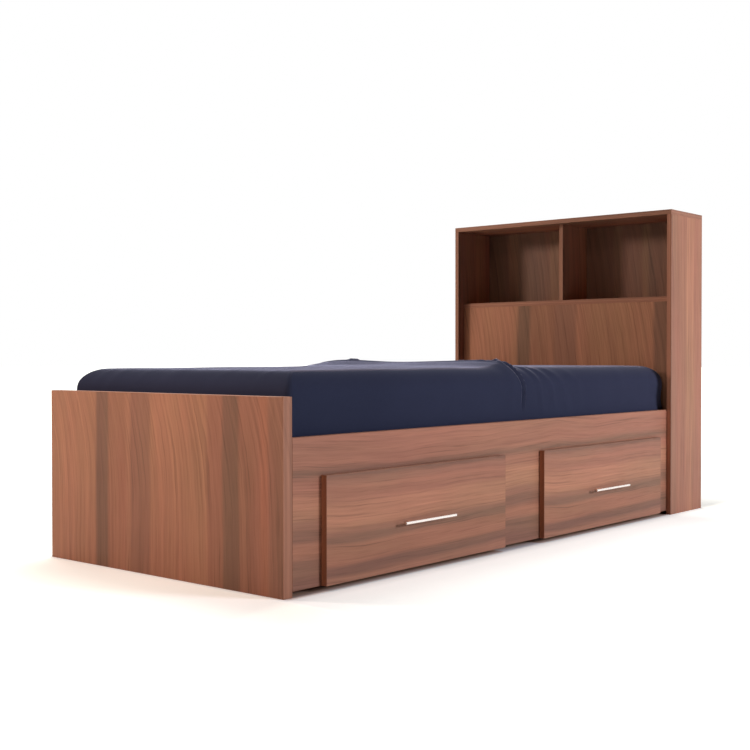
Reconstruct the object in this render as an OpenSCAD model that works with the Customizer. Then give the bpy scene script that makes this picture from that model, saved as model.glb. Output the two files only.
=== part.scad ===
// Single bed with a bookcase headboard and two underbed drawers.
// Millimetres, +Z up, +Y towards the headboard, drawers open along +X.
// The origin is the centre of the whole bed's box on the floor.

/* [Mattress] */
// Width of the mattress
mattress_w = 900; // [800:10:1000]
// Length of the mattress
mattress_l = 2032; // [1900:4:2100]
// Height of the mattress at its edge
mattress_h = 190; // [150:1:240]
// Rise of the mattress top in its middle
mattress_crown = 4; // [2:1:12]
// How far the mattress sides are drawn in at mid height
mattress_waist = 5; // [2:1:10]
// Radius of the mattress corners seen from above
mattress_corner = 16; // [12:1:60]
// How far in the rounded top edge reaches at the ends
edge_in = 72; // [50:1:110]
// How far in the rounded top edge reaches along the sides
side_edge_in = 60; // [40:1:110]
// How far down the rounded top edge reaches
edge_down = 62; // [40:1:80]
// Thickness of the fitted sheet's cloth solid
sheet_t = 1.6; // [1:0.1:2.5]
// Height of the fold that crosses the sheet
fold_h = 24; // [8:1:28]
// How much lower that fold is in the middle
fold_dip = 10; // [0:1:14]
// Width of that fold to each side of its crest
fold_w = 70; // [50:1:100]
// Distance of the fold from the mattress's foot end
fold_from_foot = 1034; // [900:2:1100]
// How much farther from the foot end the fold lies on the left than on the right
fold_slant = 0; // [0:5:80]

/* [Boards] */
// Thickness of the laminated boards
board_t = 18; // [16:0.5:20]
// Small chamfer on the edges of the boards
arris = 0.8; // [0.4:0.1:1.2]
// Thickness of the footboard
footboard_t = 32; // [25:1:40]
// Height of the footboard
footboard_h = 500; // [450:5:560]
// Height of the side rails' top edge above the floor
rail_top = 398; // [390:1:430]
// Gap between the floor and the side rails
floor_gap = 15; // [10:1:25]
// Gap between the mattress and each side rail
side_gap = 20; // [12:1:30]
// Gap between the mattress and the footboard
foot_gap = 26; // [20:1:45]
// Gap between the mattress and the headboard
head_gap = 5; // [3:1:45]

/* [Headboard] */
// Height of the headboard
headboard_h = 1156; // [1050:2:1250]
// Depth of the headboard from front to back
headboard_d = 265; // [230:1:300]
// How far the lower panel, shelf and divider stand back
setback = 40; // [30:1:55]
// How far the back panel stands in from the rear edges
back_inset = 15; // [8:1:25]
// Height of the shelf's top face above the floor
shelf_top = 830; // [760:2:880]
// Height of the board that closes the lower compartment
base_board_z = 60; // [40:1:90]

/* [Slats] */
// Width of one slat
slat_w = 95; // [70:1:110]
// Thickness of one slat
slat_t = 18; // [15:1:20]
// How far the slats' top faces lie below the rails' top edge
slat_drop = 26; // [20:1:40]
// Gap between each slat end and the side rail
slat_end_gap = 1; // [1:0.5:3]
// Width of the ledges that carry the slats
ledge_w = 25; // [22:1:35]
// Height of the ledges that carry the slats
ledge_h = 40; // [30:1:50]

/* [Drawers] */
// Height of one drawer front
front_h = 283; // [270:1:290]
// Distance from the footboard to the first drawer front
front_margin = 105; // [60:1:120]
// Distance from the second drawer front to the headboard's side
head_margin = 82; // [50:1:110]
// Distance between the two drawer fronts
front_gap = 220; // [180:1:240]
// How far a drawer front laps over its window in the rail
front_lap = 25; // [20:1:32]
// Height of the rail's strip below the windows
window_sill = 30; // [24:1:36]
// Gap between a window's sill and the drawer box
box_lift = 12; // [6:1:16]
// Gap between the drawer box and the window's top edge
box_drop = 26; // [10:1:40]
// Thickness of the drawer box boards
box_t = 15; // [12:0.5:16]
// Thickness of the drawer bottom
bottom_t = 6; // [3:0.5:8]
// Depth of the groove that holds the drawer bottom
groove_d = 6; // [4:0.5:7]
// Height of that groove above the box's lower edge
groove_z = 12; // [8:1:18]
// Gap between the drawer box and the panel behind it
box_rear_gap = 9; // [6:1:20]

/* [Runners] */
// Length of a drawer runner
runner_l = 450; // [400:10:460]
// Height of a drawer runner
runner_h = 45; // [40:1:50]
// Thickness of the runner's steel
runner_steel = 1.2; // [1:0.1:1.4]
// Space between partition and drawer box for a runner
runner_gap = 13; // [12.5:0.1:14]
// Running clearance between two runner members
runner_clear = 0.35; // [0.3:0.05:0.5]
// Distance of the runner's front end from the side rail
runner_setback = 2; // [1:0.5:5]
// Height of the runner's middle above the box's lower edge
runner_rise = 84; // [50:1:110]

/* [Handles] */
// Length of a handle bar
handle_l = 228; // [200:2:260]
// Diameter of a handle bar
handle_d = 8.5; // [8:0.5:12]
// Diameter of a handle post
post_d = 8; // [7:0.5:8]
// Distance between the two posts of a handle
post_spacing = 160; // [128:32:192]
// Chamfer on the ends of a handle bar
handle_round = 1; // [0.5:0.1:1.5]
// How far a handle stands out of its drawer front
handle_reach = 30; // [24:1:40]
// Height of the handle above the drawer front's lower edge
handle_z = 131.5; // [110:0.5:160]

/* [Fasteners] */
// Diameter of a cam lock
cam_d = 15; // [12:0.5:16]
// Height of a cam lock
cam_h = 12; // [10:0.5:13]
// Distance of a cam lock from the board's end
cam_back = 34; // [24:1:40]
// Diameter of a cam bolt
bolt_d = 6; // [5:0.5:7]
// How deep a cam bolt is set in the board it holds
bolt_in = 11; // [8:0.5:13]
// Diameter of a wood screw's shank
screw_d = 3.6; // [3:0.2:4.4]
// Length of a wood screw
screw_l = 36; // [32:1:40]
// Diameter of a wood screw's head
screw_head_d = 7.6; // [6:0.2:9]
// Height of a wood screw's head
screw_head_h = 2.6; // [2:0.2:3]
// Diameter of a handle screw
handle_screw_d = 4; // [3:0.5:5]
// How deep a handle screw reaches into its post
handle_screw_in = 14; // [8:1:18]
// Radial clearance of fasteners in their holes
hole_clear = 0.15; // [0.1:0.05:0.25]
// Distance of a fitting from the end of its joint
fit_end = 60; // [45:1:80]
// Distance of the partitions' fittings from their upper edge
fit_below_edge = 14; // [12:1:30]

/* [Hidden] */

// Number of slats: each is a node of its own
slat_count = 11;

// Colours of the finishes
wood_colour = [0.60, 0.40, 0.31];
slat_colour = [0.80, 0.68, 0.50];
liner_colour = [0.74, 0.66, 0.56];
steel_colour = [0.78, 0.78, 0.80];
cloth_colour = [0.16, 0.18, 0.29];
ticking_colour = [0.88, 0.87, 0.84];

// Widths, from the bed's centre line outwards
rail_in = mattress_w / 2 + side_gap;
rail_out = rail_in + board_t;
head_out = rail_out + board_t;

// Lengths, from the footboard's front face towards the headboard
rail_y0 = footboard_t;
rail_l = foot_gap + mattress_l + head_gap;
panel_y = rail_y0 + rail_l;
head_y = panel_y - setback;
total_l = head_y + headboard_d;
back_y = total_l - back_inset - board_t;
cubby_d = back_y - panel_y;
inner_d = cubby_d - board_t;

// Heights above the floor
rail_h = rail_top - floor_gap;
slat_top = rail_top - slat_drop;
slat_z = slat_top - slat_t;
ledge_z = slat_z - ledge_h;
side_h = headboard_h - board_t;
shelf_z = shelf_top - board_t;

// Drawer fronts share the length between footboard and headboard; windows and boxes follow them
front_w = (head_y - rail_y0 - front_margin - front_gap - head_margin) / 2;
front_ys = [rail_y0 + front_margin, rail_y0 + front_margin + front_w + front_gap];
window_w = front_w - 2 * front_lap;
window_z = floor_gap + window_sill;
window_h = floor_gap + front_h - front_lap - window_z;
box_w = window_w - 2 * runner_gap;
box_h = window_h - box_lift - box_drop;
box_z = window_z + box_lift;
box_d = runner_l + runner_setback + board_t;
box_x = rail_out - box_d;
panel_x = box_x - box_rear_gap - board_t;
runner_x = rail_in - runner_setback - runner_l;
runner_z = box_z + runner_rise;
bottom_z = box_z + groove_z;
bottom_fit = 0.3;

// Partitions stand beside the windows
partition_ys = [
    front_ys[0] + front_lap - board_t, front_ys[0] + front_w - front_lap,
    front_ys[1] + front_lap - board_t, front_ys[1] + front_w - front_lap
];
partition_x = panel_x + board_t;
partition_l = rail_in - partition_x;

// Slats are spread evenly between footboard and headboard
slat_pitch = (rail_l - slat_count * slat_w) / (slat_count + 1) + slat_w;
slat_l = 2 * (rail_in - slat_end_gap);
slat_y0 = rail_y0 + slat_pitch - slat_w;
function slat_mid(i) = slat_y0 + i * slat_pitch + slat_w / 2;
screw_x = rail_in - ledge_w / 2;
ledge_screw_z = ledge_z + ledge_h * 0.35;
ledge_screw_ys = [for (i = [1:2:slat_count - 2]) slat_mid(i) + slat_pitch / 2];

// Directions for cam fittings: turn of the bolt axis and spin of the cam's face
aim_up = [0, 0, 0];
aim_foot = [90, 0, 0];
aim_head = [-90, 0, 0];
aim_right = [0, 90, 0];
aim_left = [0, -90, 0];

// Each fitting is its joint point, the bolt's direction and the cam's spin
rail_mid = rail_in + board_t / 2;
rail_fit_zs = [floor_gap + fit_end, rail_top - fit_end];
left_rail_fits = [for (z = rail_fit_zs) each [
    [[-rail_mid, rail_y0, z], aim_foot, 0],
    [[-rail_mid, panel_y, z], aim_head, 0]
]];
right_rail_fits = [for (z = rail_fit_zs) each [
    [[rail_mid, rail_y0, z], aim_foot, 180],
    [[rail_mid, panel_y, z], aim_head, 180]
]];
side_mid = rail_out + board_t / 2;
depth_fit_ys = [panel_y + cubby_d * 0.3, panel_y + cubby_d * 0.75];
left_top_fits = [for (y = depth_fit_ys) [[-side_mid, y, side_h], aim_up, 0]];
right_top_fits = [for (y = depth_fit_ys) [[side_mid, y, side_h], aim_up, 180]];
shelf_mid_z = shelf_z + board_t / 2;
left_shelf_fits = [for (y = depth_fit_ys) [[-rail_out, y, shelf_mid_z], aim_left, 180]];
right_shelf_fits = [for (y = depth_fit_ys) [[rail_out, y, shelf_mid_z], aim_right, 0]];
panel_mid_y = panel_y + board_t / 2;
panel_fit_zs = [base_board_z + fit_end, shelf_z - fit_end];
left_panel_fits = [for (z = panel_fit_zs) [[-rail_out, panel_mid_y, z], aim_left, 90]];
right_panel_fits = [for (z = panel_fit_zs) [[rail_out, panel_mid_y, z], aim_right, 90]];
back_mid_y = back_y + board_t / 2;
back_fit_zs = [base_board_z + fit_end, shelf_z - 2 * fit_end, side_h - fit_end];
left_back_fits = [for (z = back_fit_zs) [[-rail_out, back_mid_y, z], aim_left, 90]];
right_back_fits = [for (z = back_fit_zs) [[rail_out, back_mid_y, z], aim_right, 90]];
partition_fit_z = ledge_z - fit_below_edge;
partition_fits = [for (i = [0:3]) [
    [rail_in, partition_ys[i] + board_t / 2, partition_fit_z],
    aim_right,
    i % 2 == 0 ? -90 : 90
]];
panel_fits = [for (i = [0:3]) [
    [partition_x, partition_ys[i] + board_t / 2, partition_fit_z],
    aim_left,
    i % 2 == 0 ? -90 : 90
]];
all_fits = concat(
    left_rail_fits, right_rail_fits, left_top_fits, right_top_fits,
    left_shelf_fits, right_shelf_fits, left_panel_fits, right_panel_fits,
    left_back_fits, right_back_fits, partition_fits, panel_fits
);

// Moves the bed so that its box is centred on the origin
module place() {
    translate([-handle_reach / 2, -total_l / 2, 0]) children();
}

// A rectangle with cut corners, the outline of a board seen along one axis
module cut_rect(w, h) {
    polygon([
        [arris, 0], [w - arris, 0], [w, arris], [w, h - arris],
        [w - arris, h], [arris, h], [0, h - arris], [0, arris]
    ]);
}

// A board with chamfered edges, from its lowest corner
module board(at, size) {
    translate(at) intersection() {
        linear_extrude(size.z) cut_rect(size.x, size.y);
        translate([0, size.y, 0]) rotate([90, 0, 0]) linear_extrude(size.y) cut_rect(size.x, size.z);
        rotate([90, 0, 90]) linear_extrude(size.x) cut_rect(size.y, size.z);
    }
}

// Puts its children at a fitting: +Z runs into the held board, +X out of the cam's face
module at_fit(fit) {
    translate(fit[0]) rotate(fit[1]) rotate([0, 0, fit[2]]) children();
}

// The holes of the cam fittings: cam pocket, bolt passage and blind bolt hole
module fit_holes(fits) {
    pocket_d = cam_d + 2 * hole_clear;
    passage_d = bolt_d + 2 * hole_clear;
    for (fit = fits) at_fit(fit) {
        translate([board_t / 2 - cam_h - hole_clear, 0, -cam_back])
            rotate([0, 90, 0]) cylinder(d = pocket_d, h = cam_h + 2, $fn = 48);
        translate([0, 0, -cam_back]) cylinder(d = passage_d, h = cam_back + bolt_in + hole_clear, $fn = 32);
    }
}

// A cam lock: a short drum with a screwdriver slot and a throat for the bolt
module cam_lock() {
    throat_d = bolt_d + 4 * hole_clear;
    translate([board_t / 2 - cam_h, 0, -cam_back]) difference() {
        rotate([0, 90, 0]) cylinder(d = cam_d, h = cam_h, $fn = 48);
        translate([cam_h - board_t / 2, 0, 0]) cylinder(d = throat_d, h = cam_d, $fn = 32);
        translate([cam_h - 2, -cam_d * 0.35, -0.6]) cube([4, cam_d * 0.7, 1.2]);
    }
}

// A cam bolt: a steel pin with a grip collar at the joint face
module cam_bolt() {
    tip = cam_back - 1.5;
    translate([0, 0, -tip]) cylinder(d = bolt_d - 2, h = 3, $fn = 32);
    translate([0, 0, 3 - tip]) cylinder(d = bolt_d, h = tip - 3 + bolt_in, $fn = 32);
}

// A hole for a wood screw, along +Z from its head face
module screw_hole(depth) {
    head_hole = screw_head_h + hole_clear;
    translate([0, 0, -depth]) cylinder(d = screw_d + 2 * hole_clear, h = depth + 1, $fn = 32);
    translate([0, 0, -head_hole]) cylinder(d = screw_head_d + 2 * hole_clear, h = head_hole + 1, $fn = 32);
}

// A wood screw whose head lies sunk just below the face at z = 0
module wood_screw() {
    slot_w = 1;
    slot_l = screw_head_d * 0.6;
    difference() {
        union() {
            translate([0, 0, -screw_head_h]) cylinder(d = screw_head_d, h = screw_head_h, $fn = 32);
            translate([0, 0, screw_d - screw_l]) cylinder(d = screw_d, h = screw_l - screw_d, $fn = 32);
            translate([0, 0, -screw_l]) cylinder(d1 = screw_d * 0.2, d2 = screw_d, h = screw_d, $fn = 32);
        }
        translate([-slot_l / 2, -slot_w / 2, -slot_w]) cube([slot_l, slot_w, 2 * slot_w]);
        translate([-slot_w / 2, -slot_l / 2, -slot_w]) cube([slot_w, slot_l, 2 * slot_w]);
    }
}

// Puts its children at each slat screw, with +Z upwards
module at_slat_screws(side) {
    for (i = [0:slat_count - 1]) translate([side * screw_x, slat_mid(i), slat_top]) children();
}

// Puts its children at each ledge screw, with +Z pointing at the bed's middle
module at_ledge_screws(side) {
    for (y = ledge_screw_ys)
        translate([side * (rail_in - ledge_w), y, ledge_screw_z]) rotate([0, -90 * side, 0]) children();
}

// Footboard

module footboard() {
    color(wood_colour) place() difference() {
        board([-rail_out, 0, 0], [2 * rail_out, footboard_t, footboard_h]);
        fit_holes([for (f = concat(left_rail_fits, right_rail_fits)) if (f[1] == aim_foot) f]);
    }
}

// Side rails

module side_rail_left() {
    color(wood_colour) place() difference() {
        board([-rail_out, rail_y0, floor_gap], [board_t, rail_l, rail_h]);
        fit_holes(left_rail_fits);
        at_ledge_screws(-1) screw_hole(screw_l + hole_clear);
    }
}

module side_rail_right() {
    color(wood_colour) place() difference() {
        board([rail_in, rail_y0, floor_gap], [board_t, rail_l, rail_h]);
        for (y = front_ys)
            translate([rail_in - 1, y + front_lap, window_z]) cube([board_t + 2, window_w, window_h]);
        fit_holes(right_rail_fits);
        fit_holes(partition_fits);
        at_ledge_screws(1) screw_hole(screw_l + hole_clear);
    }
}

// Headboard

module headboard_side_left() {
    color(wood_colour) place() difference() {
        board([-head_out, head_y, 0], [board_t, headboard_d, side_h]);
        fit_holes(left_top_fits);
        fit_holes(left_shelf_fits);
        fit_holes(left_panel_fits);
        fit_holes(left_back_fits);
    }
}

module headboard_side_right() {
    color(wood_colour) place() difference() {
        board([rail_out, head_y, 0], [board_t, headboard_d, side_h]);
        fit_holes(right_top_fits);
        fit_holes(right_shelf_fits);
        fit_holes(right_panel_fits);
        fit_holes(right_back_fits);
    }
}

module headboard_top() {
    color(wood_colour) place() difference() {
        board([-head_out, head_y, side_h], [2 * head_out, headboard_d, board_t]);
        fit_holes(concat(left_top_fits, right_top_fits));
    }
}

module headboard_shelf() {
    color(wood_colour) place() difference() {
        board([-rail_out, panel_y, shelf_z], [2 * rail_out, cubby_d, board_t]);
        fit_holes(concat(left_shelf_fits, right_shelf_fits));
    }
}

module headboard_divider() {
    color(wood_colour) place()
        board([-board_t / 2, panel_y, shelf_top], [board_t, cubby_d, side_h - shelf_top]);
}

module headboard_front_panel() {
    color(wood_colour) place() difference() {
        board([-rail_out, panel_y, floor_gap], [2 * rail_out, board_t, shelf_z - floor_gap]);
        fit_holes(concat(left_panel_fits, right_panel_fits));
        fit_holes([for (f = concat(left_rail_fits, right_rail_fits)) if (f[1] == aim_head) f]);
    }
}

module headboard_back_panel() {
    color(wood_colour) place() difference() {
        board([-rail_out, back_y, floor_gap], [2 * rail_out, board_t, side_h - floor_gap]);
        fit_holes(concat(left_back_fits, right_back_fits));
    }
}

module headboard_base_board() {
    color(wood_colour) place()
        board([-rail_out, panel_y + board_t, base_board_z], [2 * rail_out, inner_d, board_t]);
}

// Support under the slats

module centre_panel() {
    color(wood_colour) place() difference() {
        board([panel_x, rail_y0, 0], [board_t, rail_l, slat_z]);
        fit_holes(panel_fits);
    }
}

module partition(i) {
    color(wood_colour) place() difference() {
        board([partition_x, partition_ys[i], floor_gap], [partition_l, board_t, ledge_z - floor_gap]);
        fit_holes([partition_fits[i], panel_fits[i]]);
    }
}

module slat_ledge(side) {
    color(slat_colour) place() difference() {
        board([side > 0 ? rail_in - ledge_w : -rail_in, rail_y0, ledge_z], [ledge_w, rail_l, ledge_h]);
        at_slat_screws(side) screw_hole(screw_l + hole_clear);
        at_ledge_screws(side) screw_hole(screw_l + hole_clear);
    }
}

module slat(i) {
    color(slat_colour) place() difference() {
        board([-slat_l / 2, slat_mid(i) - slat_w / 2, slat_z], [slat_l, slat_w, slat_t]);
        for (side = [-1, 1])
            translate([side * screw_x, slat_mid(i), slat_top]) screw_hole(screw_l + hole_clear);
    }
}

// Fasteners

module wood_screws() {
    color(steel_colour) place() for (side = [-1, 1]) {
        at_slat_screws(side) translate([0, 0, -hole_clear]) wood_screw();
        at_ledge_screws(side) translate([0, 0, -hole_clear]) wood_screw();
    }
}

module cam_locks() {
    color(steel_colour) place() for (fit = all_fits) at_fit(fit) cam_lock();
}

module cam_bolts() {
    color(steel_colour) place() for (fit = all_fits) at_fit(fit) cam_bolt();
}

// Mattress and fitted sheet: rings of points climb the sides, round the top edge
// and close in to the middle, and the same rings a little further out make the cloth

soft_clear = 0.4;
arc_steps = 4;
end_steps = 5;
bed_z = slat_top + soft_clear;
soft_mid_y = rail_y0 + foot_gap + mattress_l / 2;
fold_y = fold_from_foot - mattress_l / 2;
// Places along a long side, closer together where the fold crosses it
straight = mattress_l / 2 - mattress_corner;
fold_steps = [for (s = [-3:3]) fold_y + s * fold_w * 0.6];
foot_steps = [for (i = [0:6]) -straight + i * (fold_steps[0] - 60 + straight) / 6];
head_steps = [for (i = [0:6]) fold_steps[6] + 60 + i * (straight - fold_steps[6] - 60) / 6];
side_marks = [for (y = concat(foot_steps, fold_steps, head_steps)) y / straight];
end_marks = [for (i = [1:end_steps - 1]) 2 * i / end_steps - 1];

// The outline of one ring: half width, half length and corner radius, anticlockwise
function outline(a, b, r) = concat(
    [for (m = side_marks) [a, m * (b - r)]],
    [for (i = [1:arc_steps - 1]) [a - r + r * cos(i * 90 / arc_steps), b - r + r * sin(i * 90 / arc_steps)]],
    [[a - r, b]], [for (m = end_marks) [-m * (a - r), b]], [[r - a, b]],
    [for (i = [1:arc_steps - 1]) [r - a - r * sin(i * 90 / arc_steps), b - r + r * cos(i * 90 / arc_steps)]],
    [for (i = [len(side_marks) - 1:-1:0]) [-a, side_marks[i] * (b - r)]],
    [for (i = [1:arc_steps - 1]) [r - a - r * cos(i * 90 / arc_steps), r - b - r * sin(i * 90 / arc_steps)]],
    [[r - a, -b]], [for (m = end_marks) [m * (a - r), -b]], [[a - r, -b]],
    [for (i = [1:arc_steps - 1]) [a - r + r * sin(i * 90 / arc_steps), r - b - r * cos(i * 90 / arc_steps)]]
);
ring_n = len(outline(mattress_w / 2, mattress_l / 2, mattress_corner));

// Height of the crown and of the cloth's fold over a place on the top
function bulge(v, span) = 1 - pow(2 * v / span, 2);
function crown_at(x, y) = mattress_crown * bulge(x, mattress_w) * bulge(y, mattress_l);
function fold_at(x, y) = let(
    across = min(1, abs(2 * x / mattress_w)),
    crest = fold_h - fold_dip * pow(cos(min(1, across * 1.25) * 90), 2),
    along = (y - fold_y + fold_slant * x / mattress_w) / fold_w
) crest * exp(-pow(along, 2)) * (1 - pow(across, 8));

// One ring: inset from the side and from the end, height above the slats and share of the top's swell
function ring(side_in, end_in, z, share, out, folds) = let(
    a = mattress_w / 2 - side_in + out,
    b = mattress_l / 2 - end_in + out,
    r = max(12, mattress_corner - side_in + out)
) [for (p = outline(a, b, r)) [
    p.x,
    p.y,
    z + share * (crown_at(p.x, p.y) + (folds ? fold_at(p.x, p.y) : 0))
]];

// The rings of the sides and of the top, from the lower edge to the middle
function side_rings(out, folds) = [
    ring(8, 8, 10, 0, out, folds),
    ring(1, 1, 32, 0, out, folds),
    ring(mattress_waist, mattress_waist, mattress_h * 0.45, 0, out, folds),
    ring(0, 0, mattress_h - edge_down, 0, out, folds),
    ring(side_edge_in * 0.13, edge_in * 0.13, mattress_h - edge_down * 0.5 + out * 0.5, 0.1, out, folds),
    ring(side_edge_in * 0.5, edge_in * 0.5, mattress_h - edge_down * 0.134 + out, 0.6, out, folds),
    ring(side_edge_in, edge_in, mattress_h + out, 1, out, folds),
    ring(mattress_w * 0.24, mattress_w * 0.24, mattress_h + out, 1, out, folds),
    ring(mattress_w * 0.42, mattress_w * 0.42, mattress_h + out, 1, out, folds)
];

// Faces between consecutive rings, each quad as two triangles
function bands(count, first, flip) = [
    for (k = [0:count - 2], i = [0:ring_n - 1])
        let(
            p = first + k * ring_n + i,
            q = first + k * ring_n + (i + 1) % ring_n
        )
        each flip
            ? [[p, q, p + ring_n], [q, q + ring_n, p + ring_n]]
            : [[p, p + ring_n, q], [q, p + ring_n, q + ring_n]]
];

// A lid across one ring, as a strip between its two long sides
side_n = len(side_marks);
function mirror_of(i) = (side_n + 2 * (arc_steps - 1) + end_steps + 1 + side_n - 1 - i) % ring_n;
function lid(first, flip) = let(
    end_n = 2 * (arc_steps - 1) + end_steps + 1,
    head_end = [for (i = [side_n - 1:side_n + end_n]) first + i],
    foot_end = [for (i = [2 * side_n + end_n - 1:ring_n]) first + i % ring_n],
    quads = [for (i = [0:side_n - 2]) each [
        [first + i, first + i + 1, first + mirror_of(i)],
        [first + i + 1, first + mirror_of(i + 1), first + mirror_of(i)]
    ]],
    fans = concat(
        [for (i = [1:len(head_end) - 2]) [head_end[0], head_end[i], head_end[i + 1]]],
        [for (i = [1:len(foot_end) - 2]) [foot_end[0], foot_end[i], foot_end[i + 1]]]
    )
) [for (f = concat(quads, fans)) flip ? [f[0], f[2], f[1]] : f];

module mattress() {
    rings = concat([ring(28, 28, 0, 0, 0, false)], side_rings(0, false));
    color(ticking_colour) place() translate([0, soft_mid_y, bed_z]) polyhedron(
        points = [for (r = rings) each r],
        faces = concat(
            bands(len(rings), 0, false),
            lid((len(rings) - 1) * ring_n, true),
            lid(0, false)
        )
    );
}

module fitted_sheet() {
    inner = side_rings(soft_clear, true);
    outer = side_rings(soft_clear + sheet_t, true);
    count = len(inner);
    color(cloth_colour) place() translate([0, soft_mid_y, bed_z]) polyhedron(
        points = [for (r = concat(outer, inner)) each r],
        faces = concat(
            bands(count, 0, false),
            lid((count - 1) * ring_n, true),
            bands(count, count * ring_n, true),
            lid((2 * count - 1) * ring_n, false),
            [for (i = [0:ring_n - 1]) let(j = (i + 1) % ring_n) each [
                [i, j, count * ring_n + i],
                [j, count * ring_n + j, count * ring_n + i]
            ]]
        )
    );
}

// Drawers: d is 0 at the foot end and 1 at the head end of the bed

// Position of a drawer box's side nearest the footboard
function box_y(d) = front_ys[d] + front_lap + runner_gap;

module drawer_front(d) {
    hole_d = handle_screw_d + 2 * hole_clear;
    color(wood_colour) place() difference() {
        board([rail_out, front_ys[d], floor_gap], [board_t, front_w, front_h]);
        at_posts(d) translate([rail_out - 1, 0, 0]) rotate([0, 90, 0])
            cylinder(d = hole_d, h = board_t + 2, $fn = 32);
        translate([rail_out - 1, box_y(d) + box_t - groove_d, bottom_z])
            cube([groove_d + 1, box_w - 2 * box_t + 2 * groove_d, bottom_t]);
    }
}

module drawer_side(d, s) {
    y = box_y(d) + (s > 0 ? box_w - box_t : 0);
    groove_y = s > 0 ? y - 1 : y + box_t - groove_d;
    color(liner_colour) place() difference() {
        board([box_x, y, box_z], [box_d, box_t, box_h]);
        translate([box_x + box_t - groove_d, groove_y, bottom_z]) cube([box_d, groove_d + 1, bottom_t]);
    }
}

module drawer_back(d) {
    color(liner_colour) place() difference() {
        board([box_x, box_y(d) + box_t, box_z], [box_t, box_w - 2 * box_t, box_h]);
        translate([box_x + box_t - groove_d, box_y(d), bottom_z]) cube([groove_d + 1, box_w, bottom_t]);
    }
}

module drawer_bottom(d) {
    x = box_x + box_t - groove_d + bottom_fit;
    y = box_y(d) + box_t - groove_d + bottom_fit;
    color(liner_colour) place() translate([x, y, bottom_z])
        cube([rail_out + groove_d - bottom_fit - x, box_w - 2 * (box_t - groove_d + bottom_fit), bottom_t]);
}

// Puts its children on the axis of each handle post, at x = 0
module at_posts(d) {
    for (side = [-1, 1])
        translate([0, front_ys[d] + front_w / 2 + side * post_spacing / 2, floor_gap + handle_z]) children();
}

module drawer_handle(d) {
    bar_x = head_out + handle_reach - handle_d / 2;
    bar_y = front_ys[d] + (front_w - handle_l) / 2;
    bar_r = handle_d / 2;
    end_r = bar_r - handle_round;
    hole_d = handle_screw_d + 2 * hole_clear;
    color(steel_colour) place() difference() {
        union() {
            translate([bar_x, bar_y, floor_gap + handle_z]) rotate([-90, 0, 0])
                rotate_extrude($fn = 48) polygon([
                    [0, 0], [end_r, 0], [bar_r, handle_round],
                    [bar_r, handle_l - handle_round], [end_r, handle_l], [0, handle_l]
                ]);
            at_posts(d) translate([head_out, 0, 0]) rotate([0, 90, 0])
                cylinder(d = post_d, h = handle_reach - handle_d / 2, $fn = 48);
        }
        at_posts(d) translate([head_out - 1, 0, 0]) rotate([0, 90, 0])
            cylinder(d = hole_d, h = 1 + handle_screw_in + 0.5, $fn = 32);
    }
}

module drawer_handle_screws(d) {
    head_d = 2 * handle_screw_d;
    slot_w = 1;
    color(steel_colour) place() at_posts(d) translate([rail_out, 0, 0]) rotate([0, 90, 0]) difference() {
        union() {
            translate([0, 0, -screw_head_h]) cylinder(d = head_d, h = screw_head_h, $fn = 48);
            cylinder(d = handle_screw_d, h = board_t + handle_screw_in, $fn = 32);
        }
        translate([-head_d * 0.3, -slot_w / 2, -screw_head_h - slot_w])
            cube([head_d * 0.6, slot_w, 2 * slot_w]);
    }
}

// Runners: three nested steel channels, drawn in y from the partition to the drawer box

// A channel with its web at one y and its lips reaching to another, centred on z = 0
module channel(web_y, lip_y, height) {
    low = min(web_y, lip_y);
    high = max(web_y, lip_y);
    inside = lip_y > web_y ? web_y + runner_steel : web_y - runner_steel;
    translate([0, low, -height / 2]) difference() {
        cube([runner_l, high - low, height]);
        translate([-1, (lip_y > web_y ? inside : lip_y - 1) - low, runner_steel])
            cube([runner_l + 2, abs(lip_y - inside) + 1, height - 2 * runner_steel]);
    }
}

// Heights and places of the three members
middle_h = runner_h - 2 * runner_steel - 2 * runner_clear;
inner_h = middle_h - 2 * runner_steel - 2 * runner_clear;
outer_lip = runner_gap * 0.72;
middle_web = runner_steel + runner_clear;
middle_lip = runner_gap * 0.8;
inner_lip = middle_web + runner_steel + runner_clear;

// Puts a runner's y axis on the partition face, pointing at the drawer box
module at_runner(d, s) {
    y = s < 0 ? front_ys[d] + front_lap : front_ys[d] + front_w - front_lap;
    translate([runner_x, y, runner_z]) mirror([0, s < 0 ? 0 : 1, 0]) children();
}

module runner_outer(d, s) {
    color(steel_colour) place() at_runner(d, s) channel(0, outer_lip, runner_h);
}

module runner_middle(d, s) {
    color(steel_colour) place() at_runner(d, s) channel(middle_web, middle_lip, middle_h);
}

module runner_inner(d, s) {
    color(steel_colour) place() at_runner(d, s) channel(runner_gap, inner_lip, inner_h);
}

footboard();
side_rail_right();
side_rail_left();
headboard_side_left();
headboard_side_right();
headboard_top();
headboard_shelf();
headboard_divider();
headboard_front_panel();
headboard_back_panel();
headboard_base_board();
centre_panel();
partition(0);  // partition_1
partition(1);  // partition_2
partition(2);  // partition_3
partition(3);  // partition_4
slat_ledge(1);  // slat_ledge_right
slat_ledge(-1);  // slat_ledge_left
slat(0);  // slat_01
slat(1);  // slat_02
slat(2);  // slat_03
slat(3);  // slat_04
slat(4);  // slat_05
slat(5);  // slat_06
slat(6);  // slat_07
slat(7);  // slat_08
slat(8);  // slat_09
slat(9);  // slat_10
slat(10);  // slat_11
wood_screws();
cam_locks();
cam_bolts();
mattress();
fitted_sheet();
drawer_front(0);  // foot_drawer_front
drawer_side(0, -1);  // foot_drawer_side_left
drawer_side(0, 1);  // foot_drawer_side_right
drawer_back(0);  // foot_drawer_back
drawer_bottom(0);  // foot_drawer_bottom
drawer_handle(0);  // foot_drawer_handle
drawer_handle_screws(0);  // foot_drawer_handle_screws
runner_outer(0, -1);  // foot_runner_outer_left
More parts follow.
